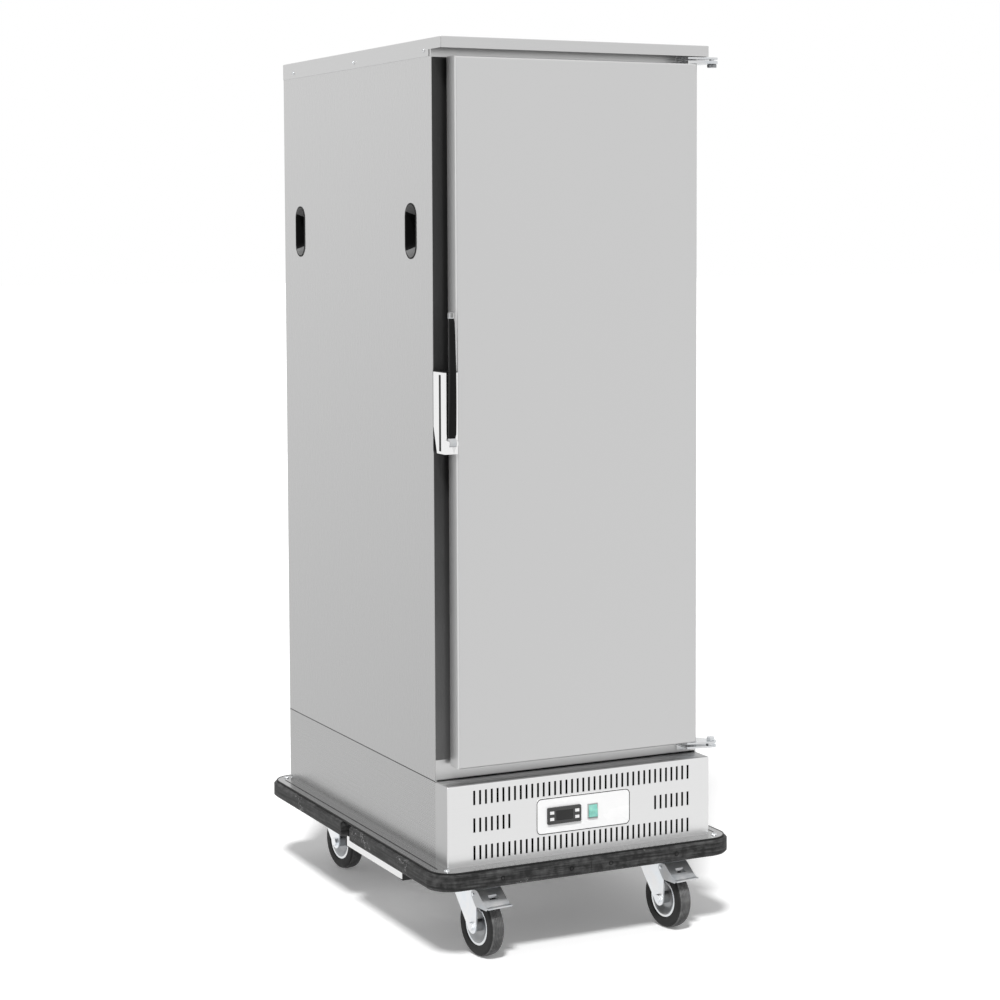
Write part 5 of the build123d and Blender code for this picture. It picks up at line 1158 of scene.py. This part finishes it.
def dark_side_share(tree):
    """Share that is 1 toward the unlit side of the studio, where the viewer stands."""
    place = tree.nodes.new("ShaderNodeTexCoord")
    along = tree.nodes.new("ShaderNodeVectorMath")
    along.operation = "DOT_PRODUCT"
    along.inputs[1].default_value = Vector(DARK_SIDE).normalized()
    ramp = tree.nodes.new("ShaderNodeMapRange")
    ramp.interpolation_type = "SMOOTHSTEP"
    ramp.inputs["From Min"].default_value = DARK_SIDE_START
    ramp.inputs["From Max"].default_value = DARK_SIDE_END
    tree.links.new(place.outputs["Generated"], along.inputs[0])
    tree.links.new(along.outputs["Value"], ramp.inputs["Value"])
    return ramp.outputs["Result"]


def make_world():
    """White behind the object, white with one dark side in its reflections, softer as light."""
    world = bpy.data.worlds.new("studio")
    world.use_nodes = True
    tree = world.node_tree
    tree.nodes.clear()
    white = background(tree, WHITE_LEVEL)
    reflected = mix_shaders(tree, dark_side_share(tree), white, background(tree, DARK_SIDE_LEVEL))
    light = background(tree, WORLD_LEVEL)
    unseen = mix_shaders(tree, mirror_share(tree), light, reflected)
    shown = mix_shaders(tree, ray_share(tree, ["Is Camera Ray", "Is Transmission Ray"]), unseen, white)
    out = tree.nodes.new("ShaderNodeOutputWorld")
    tree.links.new(shown, out.inputs["Surface"])
    bpy.context.scene.world = world


def floor_material():
    """Pale surface that keeps the shadow and is plain white in reflections."""
    made, bsdf = shader("floor", (FLOOR_ALBEDO,) * 3, metallic=0.0, roughness=FLOOR_ROUGHNESS)
    bsdf.inputs["Specular IOR Level"].default_value = 0.0
    tree = made.node_tree
    pale = tree.nodes.new("ShaderNodeBsdfDiffuse")
    pale.inputs["Color"].default_value = (FLOOR_SHOWN_ALBEDO,) * 3 + (1,)
    lifted = tree.nodes.new("ShaderNodeAddShader")
    tree.links.new(pale.outputs[0], lifted.inputs[0])
    tree.links.new(emission(tree, FLOOR_LIFT), lifted.inputs[1])
    seen = mix_shaders(tree, ray_share(tree, ["Is Camera Ray"]), bsdf.outputs[0], lifted.outputs[0])
    shown = mix_shaders(tree, mirror_share(tree), seen, emission(tree, WHITE_LEVEL))
    tree.links.new(shown, tree.nodes["Material Output"].inputs["Surface"])
    return made


def make_floor():
    """Wide flat floor under the wheels."""
    mesh = bpy.data.meshes.new("floor")
    corners = [(-1, -1), (1, -1), (1, 1), (-1, 1)]
    mesh.from_pydata([(x * FLOOR_HALF, y * FLOOR_HALF, 0) for x, y in corners], [], [(0, 1, 2, 3)])
    mesh.materials.append(floor_material())
    floor = bpy.data.objects.new("floor", mesh)
    bpy.context.scene.collection.objects.link(floor)


def make_sun():
    """Broad soft light from above."""
    data = bpy.data.lights.new("sun", "SUN")
    data.energy = SUN_STRENGTH
    data.angle = SUN_SPREAD
    sun = bpy.data.objects.new("sun", data)
    sun.rotation_euler = (*SUN_LEAN, 0)
    bpy.context.scene.collection.objects.link(sun)


def main():
    """Dress the frame, add the small pieces and set up the studio."""
    bpy.context.scene.view_settings.view_transform = "Standard"
    materials = make_materials()
    dress_nodes(materials)
    soften_edges()
    for build in (
        wheels, cover_screws, back_screws, deck_bolts, bumper_plugs, deck_gap_shadow_trim, deck_fold_shade_lines, panel_seams,
        inlet_pins, grip_cups, latch_grip, lever_cap, latch_reflection_strip_and_cap, fascia_ledge, dust_filter, display_lens,
        hinge_bush, plate_line,
    ):
        build(materials)
    make_camera()
    make_world()
    make_floor()
    make_sun()


main()
